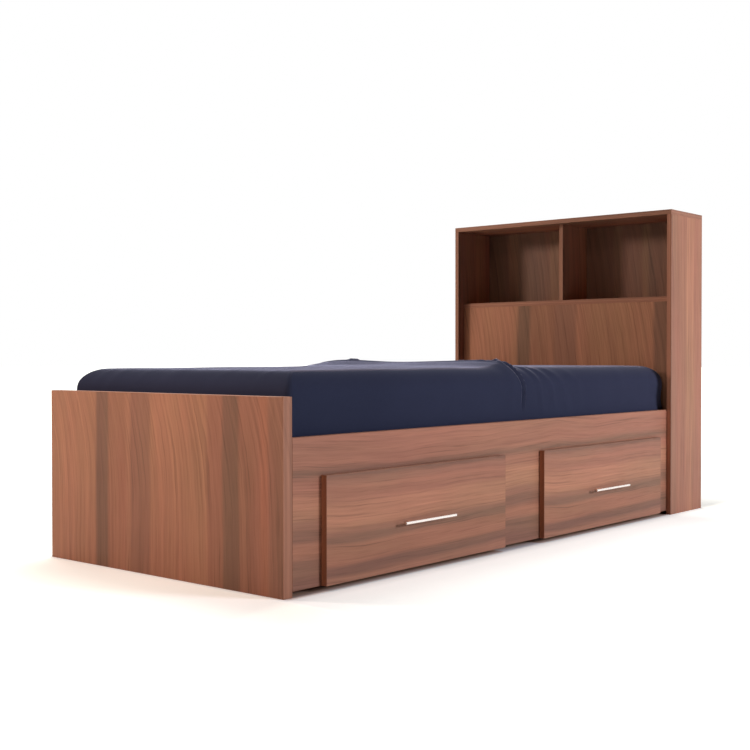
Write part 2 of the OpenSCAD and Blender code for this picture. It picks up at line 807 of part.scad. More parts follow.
runner_outer(0, 1);  // foot_runner_outer_right
runner_middle(0, -1);  // foot_runner_middle_left
runner_middle(0, 1);  // foot_runner_middle_right
runner_inner(0, -1);  // foot_runner_inner_left
runner_inner(0, 1);  // foot_runner_inner_right
drawer_front(1);  // head_drawer_front
drawer_side(1, -1);  // head_drawer_side_left
drawer_side(1, 1);  // head_drawer_side_right
drawer_back(1);  // head_drawer_back
drawer_bottom(1);  // head_drawer_bottom
drawer_handle(1);  // head_drawer_handle
drawer_handle_screws(1);  // head_drawer_handle_screws
runner_outer(1, -1);  // head_runner_outer_left
runner_outer(1, 1);  // head_runner_outer_right
runner_middle(1, -1);  // head_runner_middle_left
runner_middle(1, 1);  // head_runner_middle_right
runner_inner(1, -1);  // head_runner_inner_left
runner_inner(1, 1);  // head_runner_inner_right
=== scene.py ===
"""Looks of a single bed with a bookcase headboard and two drawers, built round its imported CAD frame."""

import math

import bmesh
import bpy
import numpy as np
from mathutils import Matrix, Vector


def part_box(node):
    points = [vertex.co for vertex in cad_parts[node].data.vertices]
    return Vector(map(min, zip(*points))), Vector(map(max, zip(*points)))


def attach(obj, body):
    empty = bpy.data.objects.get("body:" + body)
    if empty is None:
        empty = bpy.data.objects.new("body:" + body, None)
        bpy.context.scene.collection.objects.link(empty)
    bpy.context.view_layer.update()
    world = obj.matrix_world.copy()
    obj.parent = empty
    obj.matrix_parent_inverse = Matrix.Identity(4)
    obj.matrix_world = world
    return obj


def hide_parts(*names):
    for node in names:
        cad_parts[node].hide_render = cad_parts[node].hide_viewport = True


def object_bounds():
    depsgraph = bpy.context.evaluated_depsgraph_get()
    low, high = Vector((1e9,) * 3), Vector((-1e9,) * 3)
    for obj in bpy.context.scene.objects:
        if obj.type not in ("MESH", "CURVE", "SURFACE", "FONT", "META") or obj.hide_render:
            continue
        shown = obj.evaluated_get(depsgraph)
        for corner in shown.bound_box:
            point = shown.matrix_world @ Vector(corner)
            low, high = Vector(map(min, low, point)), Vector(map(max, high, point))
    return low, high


bl_info = {
    "name": "Single bed looks",
    "version": (1, 0, 0),
    "blender": (4, 5, 0),
    "location": "View3D > Sidebar > Bed",
    "description": "Dresses the packed single bed in laminate, steel, ticking and a fitted sheet",
    "category": "Object",
}

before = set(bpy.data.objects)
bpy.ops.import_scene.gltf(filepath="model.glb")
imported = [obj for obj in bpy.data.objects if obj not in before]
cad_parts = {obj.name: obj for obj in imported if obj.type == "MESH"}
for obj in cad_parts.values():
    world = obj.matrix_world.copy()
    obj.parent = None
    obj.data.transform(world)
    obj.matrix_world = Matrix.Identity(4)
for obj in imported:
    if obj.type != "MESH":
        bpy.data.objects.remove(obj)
CAD_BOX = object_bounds()

MM = 0.001
# Boards: thickness of the edge strip, how far in its glue line ends, half the print's repeat along the grain
EDGE_STRIP = 0.9 * MM
GLUE_LINE = 1.15 * MM
FIGURE_L = 0.62
# Cover caps of the cam locks: distance of a cam from its board's end, distance of the back panel's cams from
# the next board, then the cap's radius, rise and sides
CAM_BACK = 0.034
CAM_IN = 0.060
CAP_R = 8.6 * MM
CAP_RISE = 0.6 * MM
CAP_SIDES = 28
WHITE = (1.0, 1.0, 1.0)


def srgb(*levels):
    """Linear light of a colour given in screen levels: ((c + 0.055) / 1.055) to the power 2.4."""
    share = np.array(levels, float) / 255
    return tuple(np.where(share <= 0.04045, share / 12.92, ((share + 0.055) / 1.055) ** 2.4).tolist())


def tint(name, *levels):
    """A colour that the user can change, given in screen levels."""
    text = f"Colour of the {name[0].lower() + name[1:]}"
    return bpy.props.FloatVectorProperty(
        name=name, description=text, subtype="COLOR", size=3, min=0.0, max=1.0, default=srgb(*levels)
    )


def length(name, millimetres, text, low=0.0, high=3000.0):
    """A length in metres that the user can change, written here in millimetres."""
    return bpy.props.FloatProperty(
        name=name, description=text, subtype="DISTANCE", unit="LENGTH",
        default=millimetres * MM, min=low * MM, max=high * MM,
    )


def share(name, default, text, high=1.0):
    """A plain number that the user can change."""
    return bpy.props.FloatProperty(name=name, description=text, default=default, min=0.0, max=high)


class LaminateLook(bpy.types.PropertyGroup):
    """Colours and surface of the walnut laminate."""

    pale: tint("Pale bands", 173, 119, 89)
    middle: tint("Middle bands", 160, 107, 82)
    red: tint("Reddish bands", 162, 109, 82)
    dusky: tint("Dusky bands", 153, 105, 81)
    dark: tint("Dark bands", 134, 95, 73)
    deep: tint("Darkest bands", 129, 90, 71)
    glow: tint("Narrow orange streak", 170, 111, 83)
    # Painted shade: a darker laminate colour that stands for the shade on the drawer fronts' upright edges
    shaded: tint("Upright edges of the drawer fronts", 129, 79, 55)
    # Painted light: a lighter laminate colour for the front edge of the headboard's right side, where light
    # falls on it
    painted_lit_edge: tint("Front edge of the headboard's right side", 189, 123, 94)
    ring_gap: length("Ring spacing", 27, "Distance between the print's growth rings", 5, 80)
    gloss: share("Roughness", 0.46, "Roughness of the laminate")
    shine: share("Shine", 0.15, "Strength of the laminate's reflections")


class MetalLook(bpy.types.PropertyGroup):
    """Colours of the metal parts."""

    chrome: tint("Chrome of the handles", 242, 234, 229)
    zinc: tint("Zinc of the runners and fittings", 196, 199, 204)


class InsideLook(bpy.types.PropertyGroup):
    """Colours of the boards that are hidden while the bed is shut."""

    slat: tint("Slats and ledges", 214, 181, 138)
    slat_ring: tint("Rings of the slats' pine", 178, 132, 84)
    liner: tint("Drawer boxes", 205, 190, 168)
    liner_thread: tint("Darker threads of the drawer boxes' print", 176, 158, 134)


class BeddingLook(bpy.types.PropertyGroup):
    """Shape and colours of the mattress and its fitted sheet."""

    cloth: tint("Fitted sheet", 46, 49, 65)
    # Painted light: a lighter copy of the sheet's colour, blended in towards the head end
    cloth_painted_lit_head: tint("Fitted sheet's head end", 56, 57, 73)
    # Painted light: how much lighter the cloth is made where it faces the foot end
    painted_foot_light: share("Nap", 0.40, "How much lighter the sheet's nap looks on the foot side")
    sheen: share("Sheen", 0.55, "Strength of the sheet's soft shine at flat angles")
    ticking: tint("Mattress cover", 226, 222, 213)
    piping: tint("Mattress piping", 190, 186, 178)
    side_in: length("Side rounding", 60, "How far in the rounded top edge reaches along the sides")
    end_in: length("End rounding", 72, "How far in the rounded top edge reaches at the ends")
    edge_down: length("Edge depth", 62, "How far down the rounded top edge reaches")
    corner: length("Corner radius", 16, "Radius of the mattress corners seen from above")
    waist: length("Waist", 5, "How far the sides are drawn in at mid height")
    crown: length("Crown", 4, "Rise of the top in its middle")
    fold_h: length("Fold height", 24, "Height of the fold that crosses the sheet")
    fold_dip: length("Fold dip", 10, "How much lower the fold is in its middle")
    fold_w: length("Fold width", 70, "Width of the fold to each side of its crest")
    fold_from_foot: length("Fold place", 1034, "Distance of the fold from the mattress's foot end")


class StageLook(bpy.types.PropertyGroup):
    """Camera, lamps and floor."""

    eye: bpy.props.FloatVectorProperty(
        name="Camera place", description="Where the camera stands", subtype="TRANSLATION",
        unit="LENGTH", size=3, default=(2.508, -3.205, 0.5977),
    )
    turn: bpy.props.FloatVectorProperty(
        name="Camera turn", description="The camera's rotation", subtype="EULER", unit="ROTATION",
        size=3, default=(math.radians(89.13), math.radians(0.04), math.radians(40.37)),
    )
    lens: bpy.props.FloatProperty(
        name="Lens", description="Focal length on a 36 mm sensor", unit="CAMERA", default=56.254,
    )
    sky: share("Room light", 0.01, "Strength of the even light of the room", 3.0)
    key: share("Left lamp", 122.0, "Power of the lamp to the left of the foot end", 2000.0)
    side: share("Side lamp", 336.0, "Power of the lamp on the drawers' side", 2000.0)
    top: share("Ceiling lamp", 168.0, "Power of the lamp over the bed", 2000.0)
    foot: share("Foot lamp", 3.4, "Power of the narrow lamp on the footboard", 2000.0)
    key_tint: tint("Left lamp's light", 255, 233, 226)
    side_tint: tint("Side lamp's light", 228, 233, 251)
    top_tint: tint("Ceiling lamp's light", 250, 255, 250)
    foot_tint: tint("Foot lamp's light", 255, 232, 224)
    floor: tint("Floor", 248, 247, 245)
    # Painted light: the lift's warmer colour before the ends of the bed, for warm light thrown back by the
    # wood
    floor_near: tint("Floor before the ends of the bed", 255, 247, 228)
    # Painted shade: the floor's darker warm colour under the rails, for the shade beneath the bed
    floor_painted_shade: tint("Floor just under the rails", 255, 206, 172)
    floor_lift: share("Floor lift", 0.22, "How much whiter than lit the open floor looks to the camera")


def on_two(operation, turned=False):
    """A method that does one Math operation on a wire and another value, or on the two turned round."""
    return lambda self, other: self.math(operation, *((other, self) if turned else (self, other)))


class Wire:
    """An output in a material. An expression on it adds Math nodes to that material."""

    def __init__(self, finish, socket):
        self.finish, self.socket = finish, socket

    def math(self, operation, *values):
        return self.finish.node("ShaderNodeMath", values, operation=operation)

    __add__ = __radd__ = on_two("ADD")
    __mul__ = __rmul__ = on_two("MULTIPLY")
    __sub__, __rsub__ = on_two("SUBTRACT"), on_two("SUBTRACT", turned=True)
    __truediv__, __pow__ = on_two("DIVIDE"), on_two("POWER")
    low, high, below = on_two("MINIMUM"), on_two("MAXIMUM"), on_two("LESS_THAN")
    # Back and forth between 0 and a limit
    fold = on_two("PINGPONG")

    def sine(self):
        return self.math("SINE", self)

    def wave(self):
        """0.5 + 0.5 sin(value)."""
        return self.sine() * 0.5 + 0.5

    def size(self):
        return self.math("ABSOLUTE", self)

    def clip(self):
        return self.high(0.0).low(1.0)

    def ramp(self, start, end):
        """0 at the start, 1 at the end and level beyond them."""
        return ((self - start) / (end - start)).clip()


class Finish:
    """A material, or the world, that is being put together from nodes."""

    def __init__(self, owner):
        self.material = bpy.data.materials.new(owner) if isinstance(owner, str) else owner
        self.material.use_nodes = True
        self.tree = self.material.node_tree
        self.tree.nodes.clear()
        self.place = self.node("ShaderNodeTexCoord", out="Object")
        self.x, self.y, self.z = self.split(self.place)

    def node(self, kind, sockets=(), out=0, stops=None, **settings):
        """Adds a node: its settings and ramp stops come first, then the values or links of its sockets."""
        made = self.tree.nodes.new(kind)
        for key, value in settings.items():
            setattr(made, key, value)
        if stops:
            ramp = made.color_ramp.elements
            while len(ramp) < len(stops):
                ramp.new(1.0)
            for element, (position, colour) in zip(ramp, stops):
                element.position, element.color = position, colour
        pairs = sockets.items() if isinstance(sockets, dict) else enumerate(sockets)
        for key, value in pairs:
            socket = made.inputs[key]
            if isinstance(value, Wire):
                self.tree.links.new(value.socket, socket)
            elif socket.type == "RGBA":
                socket.default_value = (*value[:3], 1.0)
            else:
                socket.default_value = value
        return None if out is None else Wire(self, made.outputs[out])

    def split(self, vector):
        """The three numbers of a vector."""
        made = self.node("ShaderNodeSeparateXYZ", [vector]).socket.node
        return [Wire(self, output) for output in made.outputs]

    def noise(self, a, b, c, detail=2.0, rough=0.5):
        """Soft noise about 0.5 at the place (a, b, c)."""
        spot = self.node("ShaderNodeCombineXYZ", [a, b, c])
        sockets = {"Vector": spot, "Scale": 1.0, "Detail": detail, "Roughness": rough}
        return self.node("ShaderNodeTexNoise", sockets)

    def mix(self, factor, a, b):
        """Colour a turning into colour b as the factor goes from 0 to 1."""
        return self.node("ShaderNodeMix", {0: factor, 6: a, 7: b}, out=2, data_type="RGBA")

    def shade(self, colour, amount):
        """The colour times a number."""
        return self.node("ShaderNodeVectorMath", {0: colour, "Scale": amount}, operation="SCALE")

    def filter(self, colour, by):
        """One colour times another."""
        return self.node("ShaderNodeVectorMath", [colour, by], operation="MULTIPLY")

    def cloth_map(self):
        """The two lengths along the piece's own map."""
        return self.split(self.node("ShaderNodeUVMap", uv_map="UVMap"))[:2]

    def seen_by(self, *rays):
        """1 for rays of the named kinds, 0 for all others."""
        first, *others = [self.node("ShaderNodeLightPath", out=f"Is {ray} Ray") for ray in rays]
        for other in others:
            first = first.high(other)
        return first

    def bump(self, height, distance):
        """The normal of a surface raised by height times distance."""
        return self.node("ShaderNodeBump", {"Height": height, "Distance": distance}, out="Normal")

    def surface(self, **sockets):
        """Ends the material in a Principled surface; an underscore stands for a space."""
        named = {key.replace("_", " "): value for key, value in sockets.items()}
        return self.end(self.node("ShaderNodeBsdfPrincipled", named))

    def end(self, shader, kind="Material"):
        """Ends the material in a shader."""
        self.node("ShaderNodeOutput" + kind, {"Surface": shader}, out=None)
        return self.material


def begin(name, group):
    """A new material and the group of colours that it takes."""
    return Finish(name), getattr(bpy.context.scene, "bed_" + group)


# The laminate's prints: their width in metres and their bands, each with its start as a share of that width
BOARD_W = 0.976
FOOTBOARD_PRINT = BOARD_W, [
    (0.0, "pale"), (0.223, "dark"), (0.281, "red"), (0.363, "pale"), (0.385, "dusky"), (0.473, "pale"),
    (0.715, "middle"), (0.776, "dark"), (0.837, "middle"), (0.915, "glow"), (0.945, "dusky"),
]
PANEL_PRINT = BOARD_W * 1.19, [
    (0.0, "pale"), (0.238, "dark"), (0.291, "red"), (0.394, "dusky"), (0.481, "pale"), (0.774, "dark"),
    (0.83, "middle"),
]
BACK_PRINT = BOARD_W, [
    (0.0, "dusky"), (0.105, "pale"), (0.157, "dusky"), (0.30, "middle"), (0.326, "pale"), (0.49, "dusky"),
    (0.531, "middle"), (0.64, "pale"), (0.68, "middle"), (0.775, "pale"), (0.80, "dusky"), (0.86, "middle"),
]
SIDE_PRINT = 0.265, [(0.0, "dark"), (0.03, "dusky"), (0.17, "middle"), (0.48, "pale"), (0.73, "middle")]
# The rails' print holds painted shade: its dark band from 0.21 to 0.268, ending at the drawer fronts' tops,
# stands for the shade there, and its dark and darkest bands at the bottom are partly print and partly painted
# shade near the floor.
RAIL_PRINT_AND_SHADE = 0.383, [
    (0.0, "middle"), (0.21, "dark"), (0.268, "middle"), (0.36, "pale"), (0.54, "dusky"), (0.61, "dark"),
    (0.70, "red"), (0.80, "dark"), (0.92, "deep"),
]
FRONT_PRINT = 0.283, [
    (0.0, "deep"), (0.03, "dusky"), (0.10, "middle"), (0.26, "pale"), (0.50, "dusky"), (0.55, "dark"),
    (0.635, "red"), (0.82, "deep"), (0.92, "dusky"),
]
# How strongly the rings show in each band
FIGURE = {"pale": 1.0, "middle": 0.7, "glow": 0.5, "red": 0.35, "dusky": 0.3, "dark": 0.2, "deep": 0.2}


def band_stops(look, bands, soft):
    """Ramp stops for the bands; their alpha says how strongly the rings show there."""
    stops = []
    for index, (start, name) in enumerate(bands):
        end = bands[index + 1][0] if index + 1 < len(bands) else 1.0
        colour = (*getattr(look, name), FIGURE[name])
        stops += [(start + (soft if index else 0.0), colour), (end - (soft if end < 1.0 else 0.0), colour)]
    return stops


def laminate(node, grain, across, pattern, edge, seed, lean, bow_l, soft, sway, wobble, painted_low_shade, tone):
    """Walnut laminate on a board.

    across runs over the print's bands and along follows the grain. Rings are
    sin(2 pi (across + lean (1 - along / bow)^2) / gap), and noise stretched along the grain gives streaks,
    veins, lines, pores and a blush of colour. Within an edge strip's thickness of the board's rim the strip
    shows, with lines along it, and a darker glue line lies beside it.
    """
    m, look = begin("laminate_" + node, "laminate")
    low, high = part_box(node)
    ends = {axis: (at, start, end) for axis, at, start, end in zip("xyz", (m.x, m.y, m.z), low, high)}
    thick = (set("xyz") - {grain[-1], across[-1]}).pop()

    def run(axis):
        """Distance from a board's end: z from its lower end, -z from its upper end."""
        at, start, end = ends[axis[-1]]
        return end - at if axis[0] == "-" else at - start

    def rim(axis):
        """Distance from the nearer of a board's two ends."""
        at, start, end = ends[axis[-1]]
        return (at - start).low(end - at)

    a, v = run(across), run(grain)
    t, back, face = ends[thick]
    swirl = m.noise(a * 2.2, v * 1.3, seed) - 0.5
    ripple = m.noise(a * 14.0, v * 5.0, seed + 41.0, detail=1.0) - 0.5
    jitter = m.noise(a * 42.0, v * 15.0, seed + 61.0, detail=1.0) - 0.5
    a = a + swirl * sway + ripple * 0.008
    bow = (1.0 - v.fold(FIGURE_L) / bow_l).high(0.0)
    ringed = a + bow * bow * lean + (swirl * 4.0 + jitter) * wobble
    drift = m.noise(ringed * 22.0, v * 0.9, seed + 3.0) - 0.5
    rings = (ringed * (2 * math.pi / look.ring_gap) + drift * 12.0).wave()
    fine_rings = (ringed * (2 * math.pi / (look.ring_gap * 0.37)) + drift * 20.0).wave()
    strong = m.noise(ringed * 9.0, v * 3.4, seed + 23.0).ramp(0.40, 0.65)
    span, bands = pattern
    printed = m.node("ShaderNodeValToRGB", [(a / span).fold(1.0)], stops=band_stops(look, bands, soft))
    figure = Wire(m, printed.socket.node.outputs["Alpha"])
    streaks = m.noise((ringed + t) * 95.0, v * 1.6, seed + 7.0, detail=3.0, rough=0.6) - 0.5
    lines = (m.noise((ringed + t) * 210.0, v * 2.6, seed + 31.0, detail=1.0) - 0.56).high(0.0)
    pores = (m.noise((a + t) * 640.0, v * 11.0, seed + 11.0, detail=1.0) - 0.5).high(0.0)
    cloud = m.noise(a * 7.0, v * 2.0, seed + 17.0) - 0.5
    veins = m.noise(ringed * 38.0, v * 0.8, seed + 53.0) - 0.5
    level = 1.02 + streaks * 0.56 + veins * 0.34 + cloud * 0.24 - pores * 0.55 - lines * 1.3
    level = level - figure * ((rings ** 3.0) * strong * 0.17 + fine_rings * 0.05 - 0.05)
    # Painted shade: the board darkens towards its lower end, for the shade near the floor.
    if painted_low_shade:
        level = level * (1.0 - v * painted_low_shade)
    blush = m.noise(a * 11.0, v * 1.7, seed + 71.0).ramp(1 / 3, 2 / 3)
    blush = m.mix(blush, (0.97, 1.015, 0.99), (1.03, 0.985, 1.02))
    colour = m.filter(m.filter(m.shade(printed, level), tone), blush)
    side = rim(across)
    near = side.low(rim(grain))
    strip = near.below(EDGE_STRIP)
    joint = near.below(GLUE_LINE) - strip
    deep_in = (t - back) / (face - back)
    lined = ((deep_in - 0.41) * (2 * math.pi * 1.7)).wave() * 0.20 - deep_in ** 3.0 * 0.12
    edge_colour = m.shade(m.mix(streaks + 0.5, getattr(look, edge), look.dusky), 0.90 + lined + streaks * 0.7)
    # Painted shade on the drawer fronts' upright edges: the darker colour, lighter towards the board's back
    # face; their top and bottom edges take the dusky colour.
    if edge == "shaded":
        upright_edge = m.shade(look.shaded, 1.0 + (1.0 - deep_in) ** 2.0 * 0.6 + streaks * 0.5)
        edge_colour = m.mix(side.below(EDGE_STRIP), upright_edge, m.shade(look.dusky, 0.88 + streaks * 0.5))
    colour = m.mix(strip, colour, edge_colour)
    colour = m.shade(colour, 1.0 - joint * 0.25)
    return m.surface(
        Base_Color=colour,
        Roughness=look.gloss + streaks * 0.12 + pores * 0.5,
        Specular_IOR_Level=look.shine,
        Normal=m.bump(streaks * 0.4 - pores * 2.0 - figure * rings * 0.3, 0.12 * MM),
    )


def pine():
    """Planed pine: long rings sin(2 pi (z + y + noise) / 9 mm) drawn out along x, and fine fibres."""
    m, look = begin("pine", "inside")
    wander = m.noise(m.x * 1.4, m.y * 6.0, m.z * 9.0 + 2.0) - 0.5
    rings = ((m.y + m.z + wander * 0.03) * (2 * math.pi / 0.009)).wave() ** 3.0
    fibre = m.noise(m.x * 18.0, m.y * 520.0, m.z * 520.0) - 0.5
    board = m.noise(m.x * 0.2, m.y.math("FLOOR", m.y * 7.7), 2.0, detail=0.0) - 0.5
    colour = m.mix(rings * 0.5 + fibre * 0.4, look.slat, look.slat_ring)
    return m.surface(
        Base_Color=m.shade(colour, 1.0 + board * 0.25 + fibre * 0.2),
        Roughness=0.62 + fibre * 0.2,
        Specular_IOR_Level=0.3,
        Normal=m.bump(fibre - rings * 0.4, 0.1 * MM),
    )


def drawer_board():
    """Drawer board print: fine threads up its walls crossed by level ones, and fine speckle on its bottom."""
    m, look = begin("drawer_board", "inside")
    upright = m.noise(m.x * 900.0, m.y * 900.0, m.z * 60.0 + 1.0, detail=1.0)
    level = m.noise(m.x * 60.0, m.y * 60.0, m.z * 900.0 + 5.0, detail=1.0)
    thread = (upright + level - 1.0) * 1.4
    cloud = m.noise(m.x * 6.0, m.y * 6.0, m.z * 6.0) - 0.5
    return m.surface(
        Base_Color=m.shade(m.mix((thread + 0.4).clip(), look.liner, look.liner_thread), 1.0 + cloud * 0.08),
        Roughness=0.52 + thread * 0.1,
        Specular_IOR_Level=0.35,
        Normal=m.bump(thread, 0.06 * MM),
    )


def zinc_steel():
    """Zinc-plated steel: grains of slightly different grey with fine rolling marks along x."""
    m, look = begin("zinc_steel", "metal")
    spot = m.node("ShaderNodeVectorMath", {0: m.place, "Scale": 260.0}, operation="SCALE")
    grains = m.node("ShaderNodeTexVoronoi", {"Vector": spot, "Scale": 1.0}, out="Color")
    grain = m.split(grains)[0] - 0.5
    marks = m.noise(m.x * 12.0, m.y * 900.0, m.z * 900.0, detail=1.0) - 0.5
    return m.surface(
        Base_Color=m.shade(look.zinc, 1.0 + grain * 0.12 + marks * 0.1),
        Metallic=1.0,
        Roughness=0.34 + grain * 0.1 + marks * 0.15,
        Normal=m.bump(marks, 0.03 * MM),
    )


def chrome():
    """Chrome plate: nearly white, with very fine polishing marks along y and a faint bloom."""
    m, look = begin("chrome", "metal")
    marks = m.noise(m.x * 1800.0, m.y * 40.0, m.z * 1800.0, detail=1.0) - 0.5
    bloom = m.noise(m.x * 90.0, m.y * 30.0, m.z * 90.0) - 0.5
    return m.surface(
        Base_Color=m.shade(look.chrome, 1.0 + bloom * 0.06),
        Metallic=1.0,
        Roughness=0.16 + marks * 0.08 + bloom * 0.08,
        Normal=m.bump(marks, 0.01 * MM),
    )


def sheet_cloth():
    """Dark cotton sateen: threads crossing at 0.5 mm along the cloth's own map, with a soft sheen.

    Painted light: the cloth is made lighter where it faces the foot end, and at the head end, which lies in
    the headboard's shade.
    """
    m, look = begin("sheet_cloth", "bedding")
    u, v = m.cloth_map()
    thread = 2 * math.pi / (0.5 * MM)
    weave = (u * thread).wave() * 0.5 + (v * thread).wave() * 0.5
    slub = m.noise(u * 40.0, v * 900.0, 2.0) + m.noise(u * 900.0, v * 40.0, 6.0) - 1.0
    cloud = m.noise(u * 5.0, v * 5.0, 9.0) - 0.5
    _, toward_head, up = m.split(m.node("ShaderNodeNewGeometry", out="Normal"))
    toward_foot = toward_head.ramp(-0.3, -1.0)
    # Painted light: a lighter cloth at the head end, in the headboard's shade, and on the parts that face the
    # foot end
    head_painted_light = m.y.ramp(MATTRESS_HIGH.y - 0.045, MATTRESS_HIGH.y - 0.015) * up.ramp(5 / 7, 0.0)
    level = 0.97 + weave * 0.06 + slub * 0.16 + cloud * 0.14 + toward_foot * look.painted_foot_light + head_painted_light * 1.6
    return m.surface(
        # Painted light: the cloth's colour lightens along the bed towards its head end.
        Base_Color=m.shade(m.mix((m.y * 0.45 + 0.45).clip(), look.cloth, look.cloth_painted_lit_head), level),
        Roughness=0.6 + slub * 0.08,
        Specular_IOR_Level=0.0,
        Sheen_Weight=look.sheen,
        Sheen_Roughness=0.25,
        Sheen_Tint=(0.80, 0.77, 0.90, 1.0),
        Normal=m.bump(weave * 0.5 + slub * 0.8, 0.05 * MM),
    )


def ticking_cloth():
    """Mattress cover: knitted ribs at 2 mm and quilted diamonds 90 mm across, |sin| of the two diagonals."""
    m, look = begin("ticking", "bedding")
    ribs = ((m.x + m.y + m.z) * (2 * math.pi / (2.0 * MM))).wave()
    one = ((m.x + m.y) * (math.pi / 0.09)).sine()
    two = ((m.x - m.y) * (math.pi / 0.09)).sine()
    puff_and_seam_shade = (one * one).low(two * two) ** 0.35
    fluff = m.noise(m.x * 300.0, m.y * 300.0, m.z * 300.0) - 0.5
    return m.surface(
        # Painted shade: the cover is darker along the quilting seams; the same puff shape raises the bump.
        Base_Color=m.shade(look.ticking, 0.86 + puff_and_seam_shade * 0.12 + ribs * 0.03 + fluff * 0.1),
        Roughness=0.82 + fluff * 0.1,
        Specular_IOR_Level=0.2,
        Sheen_Weight=0.2,
        Normal=m.bump(puff_and_seam_shade + ribs * 0.05 + fluff * 0.05, 3.0 * MM),
    )


def piping_cloth():
    """Corded edge tape of the mattress: a twill of 1.2 mm ribs running round the cord."""
    m, look = begin("piping", "bedding")
    u, v = m.cloth_map()
    twill = ((u + v) * (2 * math.pi / (1.2 * MM))).wave()
    return m.surface(
        Base_Color=m.shade(look.piping, 0.85 + twill * 0.2),
        Roughness=0.8,
        Specular_IOR_Level=0.2,
        Normal=m.bump(twill, 0.2 * MM),
    )


def wear(piece, material):
    """Gives a piece or a CAD node one material."""
    piece.data.materials.clear()
    piece.data.materials.append(material)
    for polygon_slot in piece.material_slots:
        polygon_slot.material = material


def fit(piece, material):
    """Gives a new piece of the bed's body its material and its slot in the record."""
    wear(piece, material)
    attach(piece, "bed")


def grid_mesh(name, points, closed_u=True, uv=None, stack=None):
    """A mesh from an array of rows and columns of points.

    Columns close into a loop where closed_u is true. Every stack of rows stands alone where stack is given.
    """
    rows, columns = points.shape[:2]
    row = np.arange(rows - 1)[:, None]
    if stack:
        row = row[(row[:, 0] + 1) % stack > 0]
    column = np.arange(columns if closed_u else columns - 1)[None, :]

    def quads(across, after):
        """The four corners of every face, in rows that are so many corners long."""
        near, far = row * across, (row + 1) * across
        spots = [near + column, near + after, far + after, far + column]
        return np.stack([c.ravel() for c in np.broadcast_arrays(*spots)], 1)

    faces = quads(columns, (column + 1) % columns)
    mesh = bpy.data.meshes.new(name)
    mesh.vertices.add(rows * columns)
    mesh.vertices.foreach_set("co", points.astype(np.float32).ravel())
    mesh.loops.add(faces.size)
    mesh.loops.foreach_set("vertex_index", faces.astype(np.int32).ravel())
    mesh.polygons.add(len(faces))
    mesh.polygons.foreach_set("loop_start", np.arange(0, faces.size, 4, dtype=np.int32))
    mesh.polygons.foreach_set("loop_total", np.full(len(faces), 4, dtype=np.int32))
    if uv is not None:
        once_round = uv[0, -1, 0] * 2 - uv[0, -2, 0] - uv[0, 0, 0]
        wide = np.concatenate([uv, uv[:, :1] + np.array([once_round, 0.0])], 1)
        spots = quads(columns + 1, column + 1).ravel()
        layer = mesh.uv_layers.new(name="UVMap")
        layer.data.foreach_set("uv", wide.reshape(-1, 2)[spots].astype(np.float32).ravel())
    mesh.update(calc_edges=True)
    mesh.validate()
    mesh.polygons.foreach_set("use_smooth", np.ones(len(mesh.polygons), bool))
    piece = bpy.data.objects.new(name, mesh)
    bpy.context.scene.collection.objects.link(piece)
    return piece


def merge_doubles(piece):
    """Closes the seams and poles of a mesh."""
    work = bmesh.new()
    work.from_mesh(piece.data)
    bmesh.ops.remove_doubles(work, verts=work.verts, dist=1e-5)
    bmesh.ops.recalc_face_normals(work, faces=work.faces)
    work.to_mesh(piece.data)
    work.free()


def ring_plan(corner, step, corner_n, fine_step=None, fine_at=0.0, fine_reach=0.0):
    """Points round a rounded rectangle as the corner centre's signs (sx, sy) and the outward way (dx, dy).

    The bedding is a stack of such rings. A point is (sx (half width - r) + r dx, sy (half length - r) + r dy).
    The long sides take their steps from a density that is higher near fine_at. The second half of the ring is
    the first half turned about the middle.
    """
    straight = MATTRESS_L / 2 - corner
    y = np.linspace(-straight, straight, 4001)
    density = np.full_like(y, 1 / step)
    if fine_step:
        density += (1 / fine_step - 1 / step) * np.exp(-(((y - fine_at) / fine_reach) ** 4))
    total = np.concatenate([[0], np.cumsum((density[1:] + density[:-1]) / 2 * np.diff(y))])
    count = int(round(total[-1]))
    long_side = np.interp(np.linspace(0, total[-1], count + 1), total, y) / straight
    short = np.linspace(-1, 1, max(8, int(round((MATTRESS_W - 2 * corner) / step))) + 1)
    turn = np.linspace(0, math.pi / 2, corner_n + 1)[1:-1]
    parts = [
        (1.0, long_side, 1.0, 0.0),
        (1.0, 1.0, np.cos(turn), np.sin(turn)),
        (-short, 1.0, 0.0, 1.0),
        (-1.0, 1.0, -np.sin(turn), np.cos(turn)),
    ]
    half = [np.concatenate(values) for values in zip(*(np.broadcast_arrays(*part) for part in parts))]
    return [np.concatenate([values, -values])[None, :] for values in half]


MATTRESS_LOW, MATTRESS_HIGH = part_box("mattress")
MATTRESS_W = MATTRESS_HIGH.x - MATTRESS_LOW.x
MATTRESS_L = MATTRESS_HIGH.y - MATTRESS_LOW.y
# The crown takes the last 4 mm of the mattress's height
MATTRESS_H = MATTRESS_HIGH.z - MATTRESS_LOW.z - 4 * MM
# Where the bedding's points, which stand round the mattress's middle, go in the frame
BEDDING_AT = np.array([*((MATTRESS_LOW + MATTRESS_HIGH) / 2)[:2], MATTRESS_LOW.z])
# How far the sheet lies outside the mattress's box and the padded form inside it, the height of the sides'
# lower end over the slats, and the radii of the sheet's hem and the mattress's piping
SHEET_OUT = 1.9 * MM
PAD_IN = 6 * MM
SIDE_LOW = 10 * MM
HEM_R = 1.4 * MM
PIPING_R = 3 * MM


def rings(plan, side_in, end_in, z, out, corner):
    """Rows of points: ring k is inset by side_in[k] and end_in[k], moved out by out, at height z[k]."""
    sx, sy, dx, dy = plan
    a = (MATTRESS_W / 2 - side_in + out)[:, None]
    b = (MATTRESS_L / 2 - end_in + out)[:, None]
    r = np.maximum(corner - side_in + out, 0.012)[:, None]
    r = np.minimum(r, np.minimum(a, b))
    x = sx * (a - r) + r * dx
    y = sy * (b - r) + r * dy
    return np.stack([x, y, np.broadcast_to(z[:, None], x.shape)], 2)


